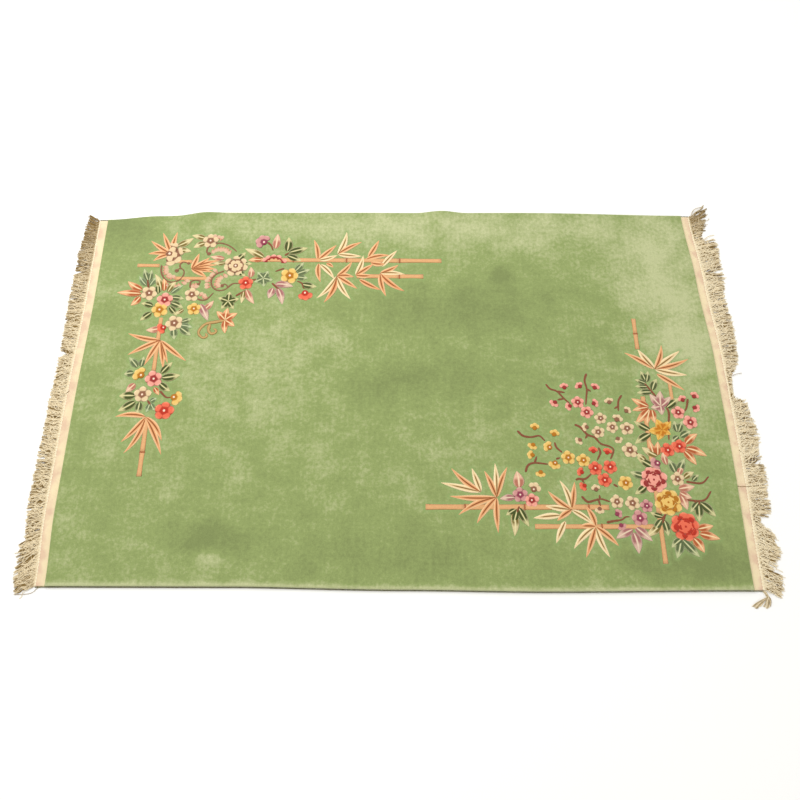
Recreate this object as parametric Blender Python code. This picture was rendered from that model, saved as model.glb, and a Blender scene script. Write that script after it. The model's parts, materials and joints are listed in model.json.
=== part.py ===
"""A hand-knotted wool pile rug lying on the floor, at its real size.

The pile field is one thick slab with two soft ripples in its far long side. An overcast selvedge
runs along each long side. Each short end has a flat-woven cotton band, and a row of knots that
gathers the warps into a fringe. The rug lies in metres with +Z up, its length along X, and the
origin on the floor under the middle of the pile field.

Every piece is first shaped as if the rug were a true rectangle, and then laid: the lie function
moves each point to where the slightly bowed and skewed rug really has it.
"""

import bisect
import math
import random
from collections import namedtuple

import bmesh
import bpy

# Driving dimensions, in metres
FIELD_LENGTH = 2.44
FIELD_WIDTH = 1.55
FIELD_THICKNESS = 0.015
PILE_EDGE_RADIUS = 0.005
SELVEDGE_DIAMETER = 0.005
BAND_WIDTH = 0.034
BAND_THICKNESS = 0.003
KNOT_ROW_DEPTH = 0.007
KNOT_ROW_HEIGHT = 0.0042
LOCK_COUNT = 140
LOCK_SHARE = 0.52  # share of the pitch between two locks that a lock's root takes
LOCK_TIP_SHARE = 0.75  # width and height of a lock's tip, over those of its root
LOCK_STEPS = 3
LOCK_BEND = 1.5  # a lock leaves the knots straight and swings with this power of its run
LOCK_NARROWEST = 0.4  # locks that swing far crowd together, and shrink to this share at most
SEAM = 0.0003  # gap between two pieces that are worked into each other

# Unevenness of the single locks
LOCK_WAVE = 0.0012
LOCK_REACH_SPREAD = 0.07
LOCK_SEED = 7

# Modelling detail
FIELD_STEP = 0.135
RIPPLE_STEP = 0.0275
RIPPLE_ROWS = (0.04, 0.085, 0.14)  # rows of points behind a rippled edge
PILE_EDGE_SEGMENTS = 2
SELVEDGE_RESOLUTION = 2

# How far each edge of the field lies outside (+) or inside (-) the true rectangle
Edge = namedtuple("Edge", "along out")
FAR_EDGE = (
    Edge(along=-1.22, out=-0.040),
    Edge(along=-1.00, out=-0.020),
    Edge(along=-0.70, out=0.000),
    Edge(along=0.00, out=0.004),
    Edge(along=0.60, out=0.008),
    Edge(along=1.22, out=-0.002),
)
NEAR_EDGE = (
    Edge(along=-1.22, out=-0.009),
    Edge(along=-0.60, out=-0.008),
    Edge(along=0.00, out=0.002),
    Edge(along=0.50, out=0.008),
    Edge(along=1.22, out=0.003),
)
LEFT_EDGE = (
    Edge(along=-0.775, out=-0.016),
    Edge(along=-0.50, out=-0.004),
    Edge(along=-0.10, out=-0.003),
    Edge(along=0.40, out=-0.009),
    Edge(along=0.775, out=-0.007),
)
RIGHT_EDGE = (
    Edge(along=-0.775, out=-0.001),
    Edge(along=-0.30, out=0.007),
    Edge(along=0.10, out=0.006),
    Edge(along=0.45, out=-0.010),
    Edge(along=0.775, out=-0.027),
)

# Where the far long side lifts off the floor in a soft ripple
Ripple = namedtuple("Ripple", "along height half_width reach")
RIPPLES = (
    Ripple(along=-0.818, height=0.011, half_width=0.11, reach=0.20),
    Ripple(along=0.192, height=0.015, half_width=0.11, reach=0.24),
)

# How the fringe lies: how far out its tips reach past the knots, and how far they swing along Y
Lay = namedtuple("Lay", "along reach swing")
LEFT_FRINGE = (
    Lay(along=-0.775, reach=0.068, swing=-0.034),
    Lay(along=-0.66, reach=0.066, swing=-0.032),
    Lay(along=-0.50, reach=0.058, swing=-0.010),
    Lay(along=-0.20, reach=0.062, swing=0.004),
    Lay(along=0.15, reach=0.054, swing=-0.006),
    Lay(along=0.40, reach=0.066, swing=0.008),
    Lay(along=0.66, reach=0.060, swing=0.004),
    Lay(along=0.775, reach=0.042, swing=0.034),
)
RIGHT_FRINGE = (
    Lay(along=-0.77, reach=0.014, swing=-0.062),
    Lay(along=-0.75, reach=0.058, swing=-0.050),
    Lay(along=-0.70, reach=0.078, swing=-0.032),
    Lay(along=-0.60, reach=0.076, swing=-0.010),
    Lay(along=-0.52, reach=0.040, swing=0.000),
    Lay(along=-0.44, reach=0.080, swing=0.000),
    Lay(along=-0.20, reach=0.084, swing=0.006),
    Lay(along=-0.11, reach=0.070, swing=0.004),
    Lay(along=-0.05, reach=0.014, swing=0.002),
    Lay(along=0.03, reach=0.022, swing=0.000),
    Lay(along=0.10, reach=0.062, swing=-0.004),
    Lay(along=0.40, reach=0.078, swing=0.000),
    Lay(along=0.58, reach=0.088, swing=0.008),
    Lay(along=0.63, reach=0.050, swing=0.032),
    Lay(along=0.70, reach=0.050, swing=0.054),
    Lay(along=0.775, reach=0.050, swing=0.064),
)

Lock = namedtuple("Lock", "place reach swing phase")

# The yarns: linear colour and roughness
Finish = namedtuple("Finish", "name colour roughness")
WOOL_PILE = Finish("jade wool pile", (0.34, 0.45, 0.19, 1.0), 0.95)
WOOL_OVERCAST = Finish("overcast wool", (0.20, 0.22, 0.11, 1.0), 0.90)
COTTON_WEB = Finish("woven cotton", (0.86, 0.72, 0.50, 1.0), 0.90)
COTTON_FRINGE = Finish("cotton fringe", (0.72, 0.62, 0.43, 1.0), 0.90)

COLLECTION_NAME = "Chinese rug"


def clear_scene():
    for item in list(bpy.data.objects):
        bpy.data.objects.remove(item)


def eased(rows, column, along):
    """The column's value at a place along the table's rows, easing from each row to the next."""
    places = [row.along for row in rows]
    if along <= places[0]:
        return getattr(rows[0], column)
    if along >= places[-1]:
        return getattr(rows[-1], column)
    after = bisect.bisect_right(places, along)
    low, high = rows[after - 1], rows[after]
    share = (along - low.along) / (high.along - low.along)
    share = share * share * (3.0 - 2.0 * share)
    return getattr(low, column) * (1.0 - share) + getattr(high, column) * share


def even_stations(low, high, step):
    count = max(1, round((high - low) / step))
    return [low + (high - low) * i / count for i in range(count + 1)]


def length_stations():
    """Places along X where the field has a row of points, closer together across the ripples."""
    half = FIELD_LENGTH / 2
    stations = [-half]
    for ripple in RIPPLES:
        start, end = ripple.along - ripple.half_width, ripple.along + ripple.half_width
        stations += even_stations(stations[-1], start, FIELD_STEP)[1:]
        stations += even_stations(start, end, RIPPLE_STEP)[1:]
    return stations + even_stations(stations[-1], half, FIELD_STEP)[1:]


def width_stations():
    """Places along Y where the field has a row of points, closer together behind the far edge."""
    half = FIELD_WIDTH / 2
    behind = [half - row for row in reversed(RIPPLE_ROWS)]
    return even_stations(-half, behind[0], FIELD_STEP) + behind[1:] + [half]


LENGTH_STATIONS = length_stations()
WIDTH_STATIONS = width_stations()


def on_chords(stations, rows, along):
    """The eased column out of an edge's rows, on straight chords between the stations.

    Neighbouring pieces all follow the same chords, so the seam between them stays even.
    """
    along_inside = min(max(along, stations[0]), stations[-1])
    after = min(max(bisect.bisect_right(stations, along_inside), 1), len(stations) - 1)
    low, high = stations[after - 1], stations[after]
    share = (along_inside - low) / (high - low)
    return eased(rows, "out", low) * (1.0 - share) + eased(rows, "out", high) * share


def lift(along_x, along_y):
    """How high the underside lies off the floor: nothing but in the ripples of the far side."""
    height = 0.0
    for ripple in RIPPLES:
        across = abs(along_x - ripple.along) / ripple.half_width
        behind = (FIELD_WIDTH / 2 - along_y) / ripple.reach
        if across < 1.0 and behind < 1.0:
            fade = 1.0 - max(behind, 0.0)
            height += ripple.height * math.cos(across * math.pi / 2) ** 2 * fade * fade
    return height


def lie(point):
    """Moves a point of the true rectangle to where it lies on the floor."""
    to_right = point.x / FIELD_LENGTH + 0.5
    to_far = point.y / FIELD_WIDTH + 0.5
    right = on_chords(WIDTH_STATIONS, RIGHT_EDGE, point.y)
    left = on_chords(WIDTH_STATIONS, LEFT_EDGE, point.y)
    far = on_chords(LENGTH_STATIONS, FAR_EDGE, point.x)
    near = on_chords(LENGTH_STATIONS, NEAR_EDGE, point.x)
    raised = lift(point.x, point.y)
    point.x += right * to_right - left * (1.0 - to_right)
    point.y += far * to_far - near * (1.0 - to_far)
    point.z += raised


def yarn(finish):
    material = bpy.data.materials.new(finish.name)
    material.use_nodes = True
    material.diffuse_color = finish.colour
    shader = material.node_tree.nodes["Principled BSDF"]
    shader.inputs["Base Color"].default_value = finish.colour
    shader.inputs["Roughness"].default_value = finish.roughness
    shader.inputs["Metallic"].default_value = 0.0
    return material


def add_object(name, data, finish, collection, carrier):
    piece = bpy.data.objects.new(name, data)
    data.materials.append(yarn(finish))
    collection.objects.link(piece)
    piece.parent = carrier
    return piece


def slab(x_places, y_places, thickness):
    """A slab on the floor, its top and underside divided at the given places along X and Y."""
    columns, rows = len(x_places) - 1, len(y_places) - 1
    work = bmesh.new()
    bmesh.ops.create_grid(work, x_segments=columns, y_segments=rows, size=0.5)
    for vertex in work.verts:
        vertex.co.x = x_places[round((vertex.co.x + 0.5) * columns)]
        vertex.co.y = y_places[round((vertex.co.y + 0.5) * rows)]
    raised = bmesh.ops.extrude_face_region(work, geom=work.faces[:], use_keep_orig=True)
    for vertex in (item for item in raised["geom"] if isinstance(item, bmesh.types.BMVert)):
        vertex.co.z += thickness
    bmesh.ops.recalc_face_normals(work, faces=work.faces[:])
    return work


def finished_mesh(work, name):
    """Lays the worked shape on the floor and turns it into a mesh."""
    for vertex in work.verts:
        lie(vertex.co)
    bmesh.ops.recalc_face_normals(work, faces=work.faces[:])
    mesh = bpy.data.meshes.new(name)
    work.to_mesh(mesh)
    work.free()
    return mesh


def round_top_rim(work, radius, segments, height):
    """Rounds the edges where the slab's top meets its sides."""
    def is_rim(edge):
        at_top = all(vertex.co.z > height / 2 for vertex in edge.verts)
        return at_top and abs(edge.calc_face_angle(0.0)) > math.radians(45.0)

    rim = [edge for edge in work.edges if is_rim(edge)]
    bmesh.ops.bevel(
        work, geom=rim, offset=radius, segments=segments, profile=0.5, affect="EDGES"
    )


def pile_field(collection, carrier):
    work = slab(LENGTH_STATIONS, WIDTH_STATIONS, FIELD_THICKNESS)
    round_top_rim(work, PILE_EDGE_RADIUS, PILE_EDGE_SEGMENTS, FIELD_THICKNESS)
    piece = add_object(
        "pile_field", finished_mesh(work, "pile_field"), WOOL_PILE, collection, carrier
    )
    piece.data.shade_smooth()
    piece.data.set_sharp_from_angle(angle=math.radians(50.0))


def selvedge(name, side, collection, carrier):
    """The overcast cord along one long side, past the bands as far as the knots."""
    radius = SELVEDGE_DIAMETER / 2
    end = FIELD_LENGTH / 2 + SEAM + BAND_WIDTH
    curve = bpy.data.curves.new(name, "CURVE")
    curve.dimensions = "3D"
    curve.bevel_depth = radius
    curve.bevel_resolution = SELVEDGE_RESOLUTION
    curve.use_fill_caps = True
    places = [-end] + LENGTH_STATIONS + [end]
    spline = curve.splines.new("POLY")
    spline.points.add(len(places) - 1)
    centre_y = side * (FIELD_WIDTH / 2 + SEAM + radius)
    for point, place in zip(spline.points, places):
        centre = point.co.to_3d()
        centre.x, centre.y, centre.z = place, centre_y, radius
        lie(centre)
        point.co = (*centre, 1.0)
    add_object(name, curve, WOOL_OVERCAST, collection, carrier)


def band(name, side, collection, carrier):
    """The flat-woven web between the pile and the fringe."""
    inner = FIELD_LENGTH / 2 + SEAM
    x_places = sorted((side * inner, side * (inner + BAND_WIDTH)))
    work = slab(x_places, WIDTH_STATIONS, BAND_THICKNESS)
    add_object(name, finished_mesh(work, name), COTTON_WEB, collection, carrier)


def fringe(name, side, lays, collection, carrier):
    """A row of knots along the band, with the locks of warp drawn out of its outer side."""
    inner = FIELD_LENGTH / 2 + 2 * SEAM + BAND_WIDTH
    outer = side * (inner + KNOT_ROW_DEPTH)
    pitch = FIELD_WIDTH / LOCK_COUNT
    gap_margin = pitch * (1.0 - LOCK_SHARE) / 2
    y_places = [-FIELD_WIDTH / 2]
    for i in range(LOCK_COUNT):
        root = -FIELD_WIDTH / 2 + i * pitch + gap_margin
        y_places += [root, root + pitch * LOCK_SHARE]
    y_places.append(FIELD_WIDTH / 2)
    work = slab(sorted((side * inner, outer)), y_places, KNOT_ROW_HEIGHT)
    draw_locks(work, outer, side, lays, pitch)
    add_object(name, finished_mesh(work, name), COTTON_FRINGE, collection, carrier)


def by_place(face):
    return face.calc_center_median().y


def is_lock_root(face, outer, pitch):
    """Whether a face lies on the outer side of the row of knots, where a lock comes out."""
    centre = face.calc_center_median()
    share = ((centre.y + FIELD_WIDTH / 2) / pitch) % 1.0
    return abs(centre.x - outer) < SEAM and abs(share - 0.5) < LOCK_SHARE / 2


def draw_locks(work, outer, side, lays, pitch):
    """Extrudes every lock's root out of the row of knots, step by step, flat on the floor."""
    chance = random.Random(LOCK_SEED)
    roots = [face for face in work.faces if is_lock_root(face, outer, pitch)]
    faces = sorted(roots, key=by_place)
    locks = [new_lock(by_place(face), lays, chance) for face in faces]
    for step in range(1, LOCK_STEPS + 1):
        share = step / LOCK_STEPS
        size = 1.0 - (1.0 - LOCK_TIP_SHARE) * share
        drawn = bmesh.ops.extrude_discrete_faces(work, faces=faces)["faces"]
        faces = sorted(drawn, key=by_place)
        for face, lock in zip(faces, locks):
            set_section(face, lock, share, outer, side, pitch * LOCK_SHARE * size, size)


def new_lock(place, lays, chance):
    """A lock's root, with its reach and swing, a little apart from its neighbours'."""
    spread = chance.uniform(1 - LOCK_REACH_SPREAD, 1 + LOCK_REACH_SPREAD)
    phase = chance.uniform(0.0, 2 * math.pi)
    return Lock(place, eased(lays, "reach", place) * spread, eased(lays, "swing", place), phase)


def set_section(face, lock, share, outer, side, width, size):
    """Moves a lock's end face to a share of its run, square to the way it heads there."""
    run_x = lock.reach * share
    run_y = lock.swing * share**LOCK_BEND + LOCK_WAVE * math.sin(lock.phase + share * math.pi)
    heading = math.atan2(lock.swing * LOCK_BEND * share ** (LOCK_BEND - 1.0), lock.reach)
    crowded_width = width * max(math.cos(heading), LOCK_NARROWEST)
    old_place = by_place(face)
    for vertex in face.verts:
        across = math.copysign(crowded_width / 2, vertex.co.y - old_place)
        is_upper = vertex.co.z > KNOT_ROW_HEIGHT / 4
        vertex.co.x = outer + side * (run_x - across * math.sin(heading))
        vertex.co.y = lock.place + run_y + across * math.cos(heading)
        vertex.co.z = KNOT_ROW_HEIGHT * size if is_upper else 0.0


def build_rug():
    clear_scene()
    collection = bpy.data.collections.new(COLLECTION_NAME)
    bpy.context.scene.collection.children.link(collection)
    carrier = bpy.data.objects.new("rug_origin", None)
    collection.objects.link(carrier)
    pile_field(collection, carrier)
    for name, side in (("selvedge_near", -1), ("selvedge_far", 1)):
        selvedge(name, side, collection, carrier)
    for end, side, lays in (("left", -1, LEFT_FRINGE), ("right", 1, RIGHT_FRINGE)):
        band(f"band_{end}", side, collection, carrier)
        fringe(f"fringe_{end}", side, lays, collection, carrier)


build_rug()
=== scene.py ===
"""A hand-knotted Chinese wool rug, dressed on its CAD frame.

The jade pile field is carved round sprays of plum blossom, peony and bamboo, which lie at two
opposite corners. Places of the sprays and of the stray yarns are written in centimetres on the
floor, with X along the rug and Y away from the camera. All other sizes are in metres.
"""

import json
import math
import random
from collections import namedtuple

import bmesh
import bpy
import numpy as np
from bpy.props import FloatProperty, FloatVectorProperty, IntProperty, PointerProperty
from mathutils import Matrix, Vector, kdtree, noise

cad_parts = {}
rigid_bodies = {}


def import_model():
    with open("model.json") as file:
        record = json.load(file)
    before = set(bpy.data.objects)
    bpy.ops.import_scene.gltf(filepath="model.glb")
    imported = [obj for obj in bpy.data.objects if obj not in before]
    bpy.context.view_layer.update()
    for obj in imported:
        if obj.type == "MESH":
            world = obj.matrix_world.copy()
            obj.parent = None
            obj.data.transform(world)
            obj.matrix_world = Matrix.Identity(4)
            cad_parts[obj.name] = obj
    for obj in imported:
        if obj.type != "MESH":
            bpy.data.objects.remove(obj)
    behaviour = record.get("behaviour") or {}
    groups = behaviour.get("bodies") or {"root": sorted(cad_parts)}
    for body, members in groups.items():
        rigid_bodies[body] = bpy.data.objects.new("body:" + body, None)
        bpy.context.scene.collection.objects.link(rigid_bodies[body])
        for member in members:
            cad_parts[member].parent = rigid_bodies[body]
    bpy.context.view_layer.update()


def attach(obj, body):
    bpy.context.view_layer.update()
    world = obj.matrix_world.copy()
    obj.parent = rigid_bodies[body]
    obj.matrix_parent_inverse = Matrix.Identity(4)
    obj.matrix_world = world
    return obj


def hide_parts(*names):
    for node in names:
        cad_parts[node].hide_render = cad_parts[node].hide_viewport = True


bl_info = {
    "name": "Chinese rug",
    "version": (1, 0, 0),
    "blender": (4, 5, 0),
    "location": "3D View > Sidebar > Rug",
    "description": "Dresses a knotted wool rug with its carved pile, sprays, web bands and fringe",
    "category": "Add Mesh",
}

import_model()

CM = 0.01
MM = 0.001

# The rug's construction, as the CAD source has it
FIELD_LENGTH = 2.44
FIELD_WIDTH = 1.55
FIELD_THICKNESS = 0.015
PILE_EDGE_RADIUS = 0.005
SELVEDGE_DIAMETER = 0.005
BAND_WIDTH = 0.034
BAND_THICKNESS = 0.003
KNOT_ROW_DEPTH = 0.007
KNOT_COUNT = 140
SEAM = 0.0003


def rows_of(kind, *rows):
    """A table's rows with their columns named."""
    return tuple(kind(*row) for row in rows)


# How far each edge of the field lies outside (+) or inside (-) the true rectangle
Edge = namedtuple("Edge", "along out")
FAR_EDGE = rows_of(
    Edge,
    (-1.22, -0.04), (-1, -0.02), (-0.7, 0), (0, 0.004), (0.6, 0.008), (1.22, -0.002),
)
NEAR_EDGE = rows_of(
    Edge,
    (-1.22, -0.009), (-0.6, -0.008), (0, 0.002), (0.5, 0.008), (1.22, 0.003),
)
LEFT_EDGE = rows_of(
    Edge,
    (-0.775, -0.016), (-0.5, -0.004), (-0.1, -0.003), (0.4, -0.009), (0.775, -0.007),
)
RIGHT_EDGE = rows_of(
    Edge,
    (-0.775, -0.001), (-0.3, 0.007), (0.1, 0.006), (0.45, -0.01), (0.775, -0.027),
)

# Where the far long side lifts off the floor in a soft ripple
Ripple = namedtuple("Ripple", "along height half_width reach")
RIPPLES = rows_of(
    Ripple,
    (-0.818, 0.011, 0.11, 0.2), (0.192, 0.015, 0.11, 0.24),
)

# How the fringe lies: how far out its tips reach past the knots, how far they swing along Y, and
# how far it is darkened, by soil and by painted shade
Lay = namedtuple("Lay", "along reach swing soil", defaults=(0.0,))
LEFT_FRINGE = rows_of(
    Lay,
    (-0.775, 0.07, -0.017, 0.5), (-0.74, 0.076, -0.036, 0.4), (-0.7, 0.076, -0.045, 0.3),
    (-0.605, 0.071, -0.04, 0.3), (-0.595, 0.05, -0.038, 0.3), (-0.56, 0.057, -0.028, 0.3),
    (-0.46, 0.069, -0.007, 0.2), (-0.2, 0.065, 0.004, 0.2), (0.15, 0.063, -0.006, 0.2),
    (0.4, 0.071, 0.008, 0.4), (0.6, 0.067, 0.004, 0.7), (0.72, 0.057, 0.01, 1),
    (0.775, 0.046, 0.034, 1.2),
)
RIGHT_FRINGE = rows_of(
    Lay,
    (-0.775, 0.05, -0.04), (-0.735, 0.072, -0.042), (-0.7, 0.072, -0.038), (-0.685, 0.026, -0.02),
    (-0.675, 0.018, -0.017), (-0.66, 0.07, -0.024), (-0.61, 0.08, -0.048), (-0.56, 0.066, -0.048),
    (-0.535, 0.036, -0.034), (-0.52, 0.024, -0.008), (-0.505, 0.06, -0.016, 0.1),
    (-0.48, 0.08, -0.016, 0.1), (-0.44, 0.076, -0.003), (-0.37, 0.083, 0), (-0.2, 0.082, 0.006),
    (-0.11, 0.07, 0.004), (-0.05, 0.016, 0.002), (0.03, 0.022, 0), (0.1, 0.064, -0.004),
    (0.23, 0.076, 0), (0.4, 0.077, 0), (0.5, 0.093, 0.004), (0.635, 0.097, 0.006, 0.1),
    (0.65, 0.042, 0.004, 0.2), (0.68, 0.042, 0.006, 0.4), (0.72, 0.066, 0.03, 0.7),
    (0.775, 0.078, 0.062, 0.9),
)

# The fringe's yarns. The deep ones lie flattened against the floor, and each stands for several.
YARN_POINTS = 14
NECK = 4 * MM  # how far a bundle runs straight out of its knot
NET_DEPTH = 14 * MM  # where the bundles of two neighbouring knots lie together again
NET_TURN = 0.5
LOOSENING = 20 * MM  # how far past its neck a yarn hangs together with the others
CLIMB = 12 * MM  # how far out a yarn lies at its own height
DEEP_SHARE = 0.4
DEEP_THICKNESS = 2.7
DEEP_CREST = 3.0 * MM
DEEP_LOW = 2.8 * MM
TOP_LOW = 1.7 * MM
KNOT_LEVEL = 2.5 * MM  # where the yarns leave a knot
KNOT_CENTRE = 2.1 * MM
KNOT_HEIGHT = 4.0 * MM
TOP_CURLS = (0.25, 0.5, 0.9, 1.2)
# Painted shadow: how dark a deep yarn is painted, for the shade in the gaps among the yarns
DEEP_SHADOWS = (0.2, 0.6, 1.0, 1.4)
PARTING_CHANCE = 0.22
YARN_TAPER = 0.15

# The tassel that has come loose at the near right corner: where it starts, where it is tied, and
# the row of its tips. The neck lies at a share of each yarn's length.
TASSEL_ROOT = (1.256, -0.781)
TASSEL_NECK = (1.265, -0.801)
TASSEL_TIPS = (1.206, -0.840)
TASSEL_SPREAD = 0.052
TASSEL_PARTING = 0.010
TASSEL_TIE = 0.35
TASSEL_YARNS = 34

# Stray yarns over the webs and past them: on the left (-1) or right (1) end, and how high they lie
Stray = namedtuple("Stray", "side path height")
STRAYS = rows_of(
    Stray,
    (1, ((122.6, -40.6), (124.2, -41), (126.2, -40.9), (128.6, -41.5)), 0.0042),
    (1, ((125.9, -27), (127.4, -28.8), (130.2, -32.5)), 0.0042),
    (1, ((128.8, 3.2), (130.4, 4), (132.6, 4.4)), 0.0042),
    (-1, ((-121.6, -76.6), (-123, -77.2), (-124.3, -78.6), (-126.4, -79.2), (-130.6, -79.4)), 0.0025),
    (-1, ((-124.5, -4), (-126.2, -5.8), (-127.4, -5.2)), 0.0042),
)

# Where the nap leans the other way, or is worn or soiled, and where light and shade are painted:
# lighter (+) or darker (-), with soft edges at the reach along X and Y
Patch = namedtuple("Patch", "x y reach_x reach_y shade")
NAP_AND_PAINTED_LIGHT_PATCHES = rows_of(
    Patch,
    # painted light: the far side of the field is lit more, so this patch is lighter
    (0.20, 0.70, 0.90, 0.09, 0.36),  # far edge
    (-1.14, 0.70, 0.16, 0.10, -0.45),  # far left corner
    (1.04, 0.50, 0.20, 0.26, 0.36),  # far right
    (1.12, 0.15, 0.12, 0.30, 0.40),  # right side
    # painted shade: the near side is lit less, so this patch is darker
    (0.00, -0.66, 0.60, 0.12, -0.25),  # near middle
    (-0.50, 0.08, 0.34, 0.26, 0.22),  # left of the middle
    (0.20, 0.32, 0.45, 0.11, -0.40),  # below the canes
    (0.05, 0.00, 0.36, 0.10, -0.40),  # middle
    (0.41, 0.47, 0.05, 0.05, -0.70),  # old spill
    (1.02, -0.68, 0.22, 0.08, -0.60),  # near right corner
    (-0.66, -0.60, 0.10, 0.06, -0.50),  # near left mark
    (-0.66, -0.67, 0.05, 0.03, 0.50),  # near left fade
)
# Painted highlight: the near long edge's rounded pile catches the light, so it is painted paler
NEAR_EDGE_HIGHLIGHT = 0.6  # the near long edge is paler over a narrow strip
NEAR_EDGE_REACH = 13 * MM

# Motifs of the sprays, in centimetres on the floor. A blossom of fewer than five petals is seen
# from the side, and its petals open round its turn, in degrees from the rug's length.
Blossom = namedtuple("Blossom", "x y radius turn petals", defaults=(90.0, 5))
PINK_BLOSSOMS = rows_of(
    Blossom,
    (-93, 35, 3.2), (-93, 0.5, 3.3, 250), (47.5, -46.5, 2.6), (67.5, -8.5, 2.4), (70.5, -12.5, 2.5, 60),
    (105, -12.5, 2.6), (109, -16.5, 2.8, 40), (63, -2.5, 1.9, 100, 3), (69, -2, 1.9, 130, 3),
    (74.5, -2.5, 1.9, 60, 3), (59, -8.5, 2, 230, 3), (64.5, -10, 1.9, 200, 3), (73.5, -9, 1.9, 20, 3),
    (112, -6, 2, 60, 3), (107.5, -7.5, 1.9, 110, 3), (111.5, -10.5, 2, 330, 3),
)
CORAL_BLOSSOMS = rows_of(
    Blossom,
    (-92, 22.5, 2.6, 200, 3), (-61.5, 43, 3, 20), (-37.5, 38.5, 3.2, 280, 3), (-87.5, -12.5, 3.6, 10),
    (71.5, -34.5, 2.6), (77, -34, 2.6, 50), (74.5, -39, 2.6, 70), (99, -27.5, 2.7, 30),
    (103.5, -26, 2.8), (71.5, -28, 1.9, 90, 3), (76.5, -28.5, 1.9, 70, 3), (66.5, -36, 1.9, 160, 3),
    (67, -41, 1.9, 210, 3),
)
YELLOW_BLOSSOMS = rows_of(
    Blossom,
    (-94.5, 30.5, 3.3, 110), (-81, 31, 2.8), (-44, 46.5, 3.6, 70), (-98, 2, 3.2, 140, 3),
    (-84.5, -7, 3.2, 340, 3), (62, -30.5, 2.6, 20), (67.5, -31.5, 2.6), (82, -40, 2.7, 50),
    (55.5, -26.5, 2.4, 150, 3), (57, -32.5, 2.4, 250, 3), (50.5, -19, 2, 80, 3),
    (57.5, -21.5, 2, 70, 3), (49.5, -25.5, 2, 240, 3), (49, -29.5, 2, 170, 3), (51.5, -36, 2, 260, 3),
)
CREAM_BLOSSOMS = rows_of(
    Blossom,
    (-77.5, 63, 3.2), (-99.5, 38, 3.2, 60), (-82.5, 37.5, 3), (-88, 24.5, 3.4, 40), (-96.5, -6, 3.2),
    (75.5, -15, 2.3), (74, -20.5, 2.4, 30), (79.5, -18.5, 2.3, 60), (85, -19, 2.6),
    (81.5, -15.5, 2.2, 60, 3), (79.5, -8.5, 1.9, 100, 3), (85.5, -12, 1.9, 40, 3),
    (81, -23, 1.9, 300, 3), (70, -18.5, 1.9, 170, 3), (67, -23.5, 1.9, 220, 3), (85, -27.5, 2.9, 20),
    (78, -47, 2.5), (83.5, -47.5, 2.6, 40), (71, -42.5, 1.9, 100, 3), (71.5, -49.5, 1.9, 260, 3),
    (48.5, -42.5, 2.6, 60, 3), (101, -38.5, 2.6),
)
MAUVE_BLOSSOMS = rows_of(
    Blossom,
    (-55.5, 62.5, 3.4, 140, 4), (43.5, -44.5, 2.7), (88.5, -48.5, 2.3), (85.5, -53, 2.9, 30),
    (94.5, -32.5, 2.8, 200, 3), (77.5, -51.5, 1.9, 30, 3), (78.5, -55.5, 1.9, 300, 3),
)

# Peonies, and rosettes with a dark fold between two rounds of petals. One that is seen from the side
# opens only over its spread, in degrees round its turn.
Peony = namedtuple("Peony", "x y radius turn spread", defaults=(360.0,))
PINK_PEONIES = (Peony(92.3, -38.8, 5.0, 20.0),)
YELLOW_PEONIES = (Peony(96.4, -47.2, 4.9, 55.0),)
CORAL_PEONIES = (Peony(101.3, -56.0, 5.1, 5.0),)
PINK_ARCHES = (Peony(-50.8, 50.4, 6.0, 90.0, 96.0),)
ROSETTES = (Peony(-66.2, 51.0, 4.9, 40.0), Peony(-93.6, 56.6, 5.8, -8.0, 150.0))

# The rounds of petals of each: how many, from and to which share of the radius, how broad for it,
# and how far above the other rounds
Round = namedtuple("Round", "petals start end breadth rise")
PEONY_ROUNDS = (Round(8, 0.30, 1.04, 0.37, 0.0),)
ARCH_ROUNDS = (Round(14, 0.60, 1.04, 0.22, 0.0),)
ROSETTE_ROUNDS = (
    Round(7, 0.40, 1.02, 0.38, 0.0),
    Round(6, 0.20, 0.76, 0.30, 0.0003),
    Round(6, 0.06, 0.66, 0.27, 0.0007),
)

# A peony's dark folds: how many lie round its middle and how far out, and a fold's length, breadth
# and bend, all as shares of the radius or of the fold's length
Fold = namedtuple("Fold", "count reach length breadth bend")
PEONY_FOLDS = rows_of(Fold, (3, 0.30, 0.44, 0.095, 0.9), (5, 0.64, 0.50, 0.14, 0.5))

# Cloud lobes: short rows of pale petals that fill the scrolls, on one side of a path (1 is its
# left, -1 its right)
Lobes = namedtuple("Lobes", "path side")
LOBE_ROWS = rows_of(
    Lobes,
    (((-95.8, 50.5), (-95.6, 47.8), (-94, 45.2), (-91.5, 44), (-88.8, 44.8)), 1),
    (((-93.8, 43.8), (-91, 42.4), (-87.6, 43.4), (-86, 46)), -1),
    (((-71, 47.5), (-74, 45), (-74.5, 41.5), (-72.5, 39.5)), 1),
    (((-73, 47.5), (-75.5, 43.5), (-75, 40)), -1),
    (((-76.5, 59), (-74, 60.5), (-70.5, 60), (-67.5, 58)), -1),
    (((-83, 41), (-82.5, 43), (-80.5, 43)), -1),
    (((-79.5, 36.5), (-77, 35), (-75, 36.5)), 1),
    (((-77.5, 63.8), (-75, 63.5), (-72.5, 62.5)), 1),
)

# Leaves: where they start, where their tips lie, and how wide they are at most. The shade picks a
# colour of the yarn family: 0 is its first and 1 its last.
Leaf = namedtuple("Leaf", "x y tip_x tip_y width shade", defaults=(1.8, 0.2))


def fans_of(*fans):
    """Leaves that spring from one place: the place, then each leaf's tip, width and shade."""
    return tuple(Leaf(*root, *tip) for root, *tips in fans for tip in tips)


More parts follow.
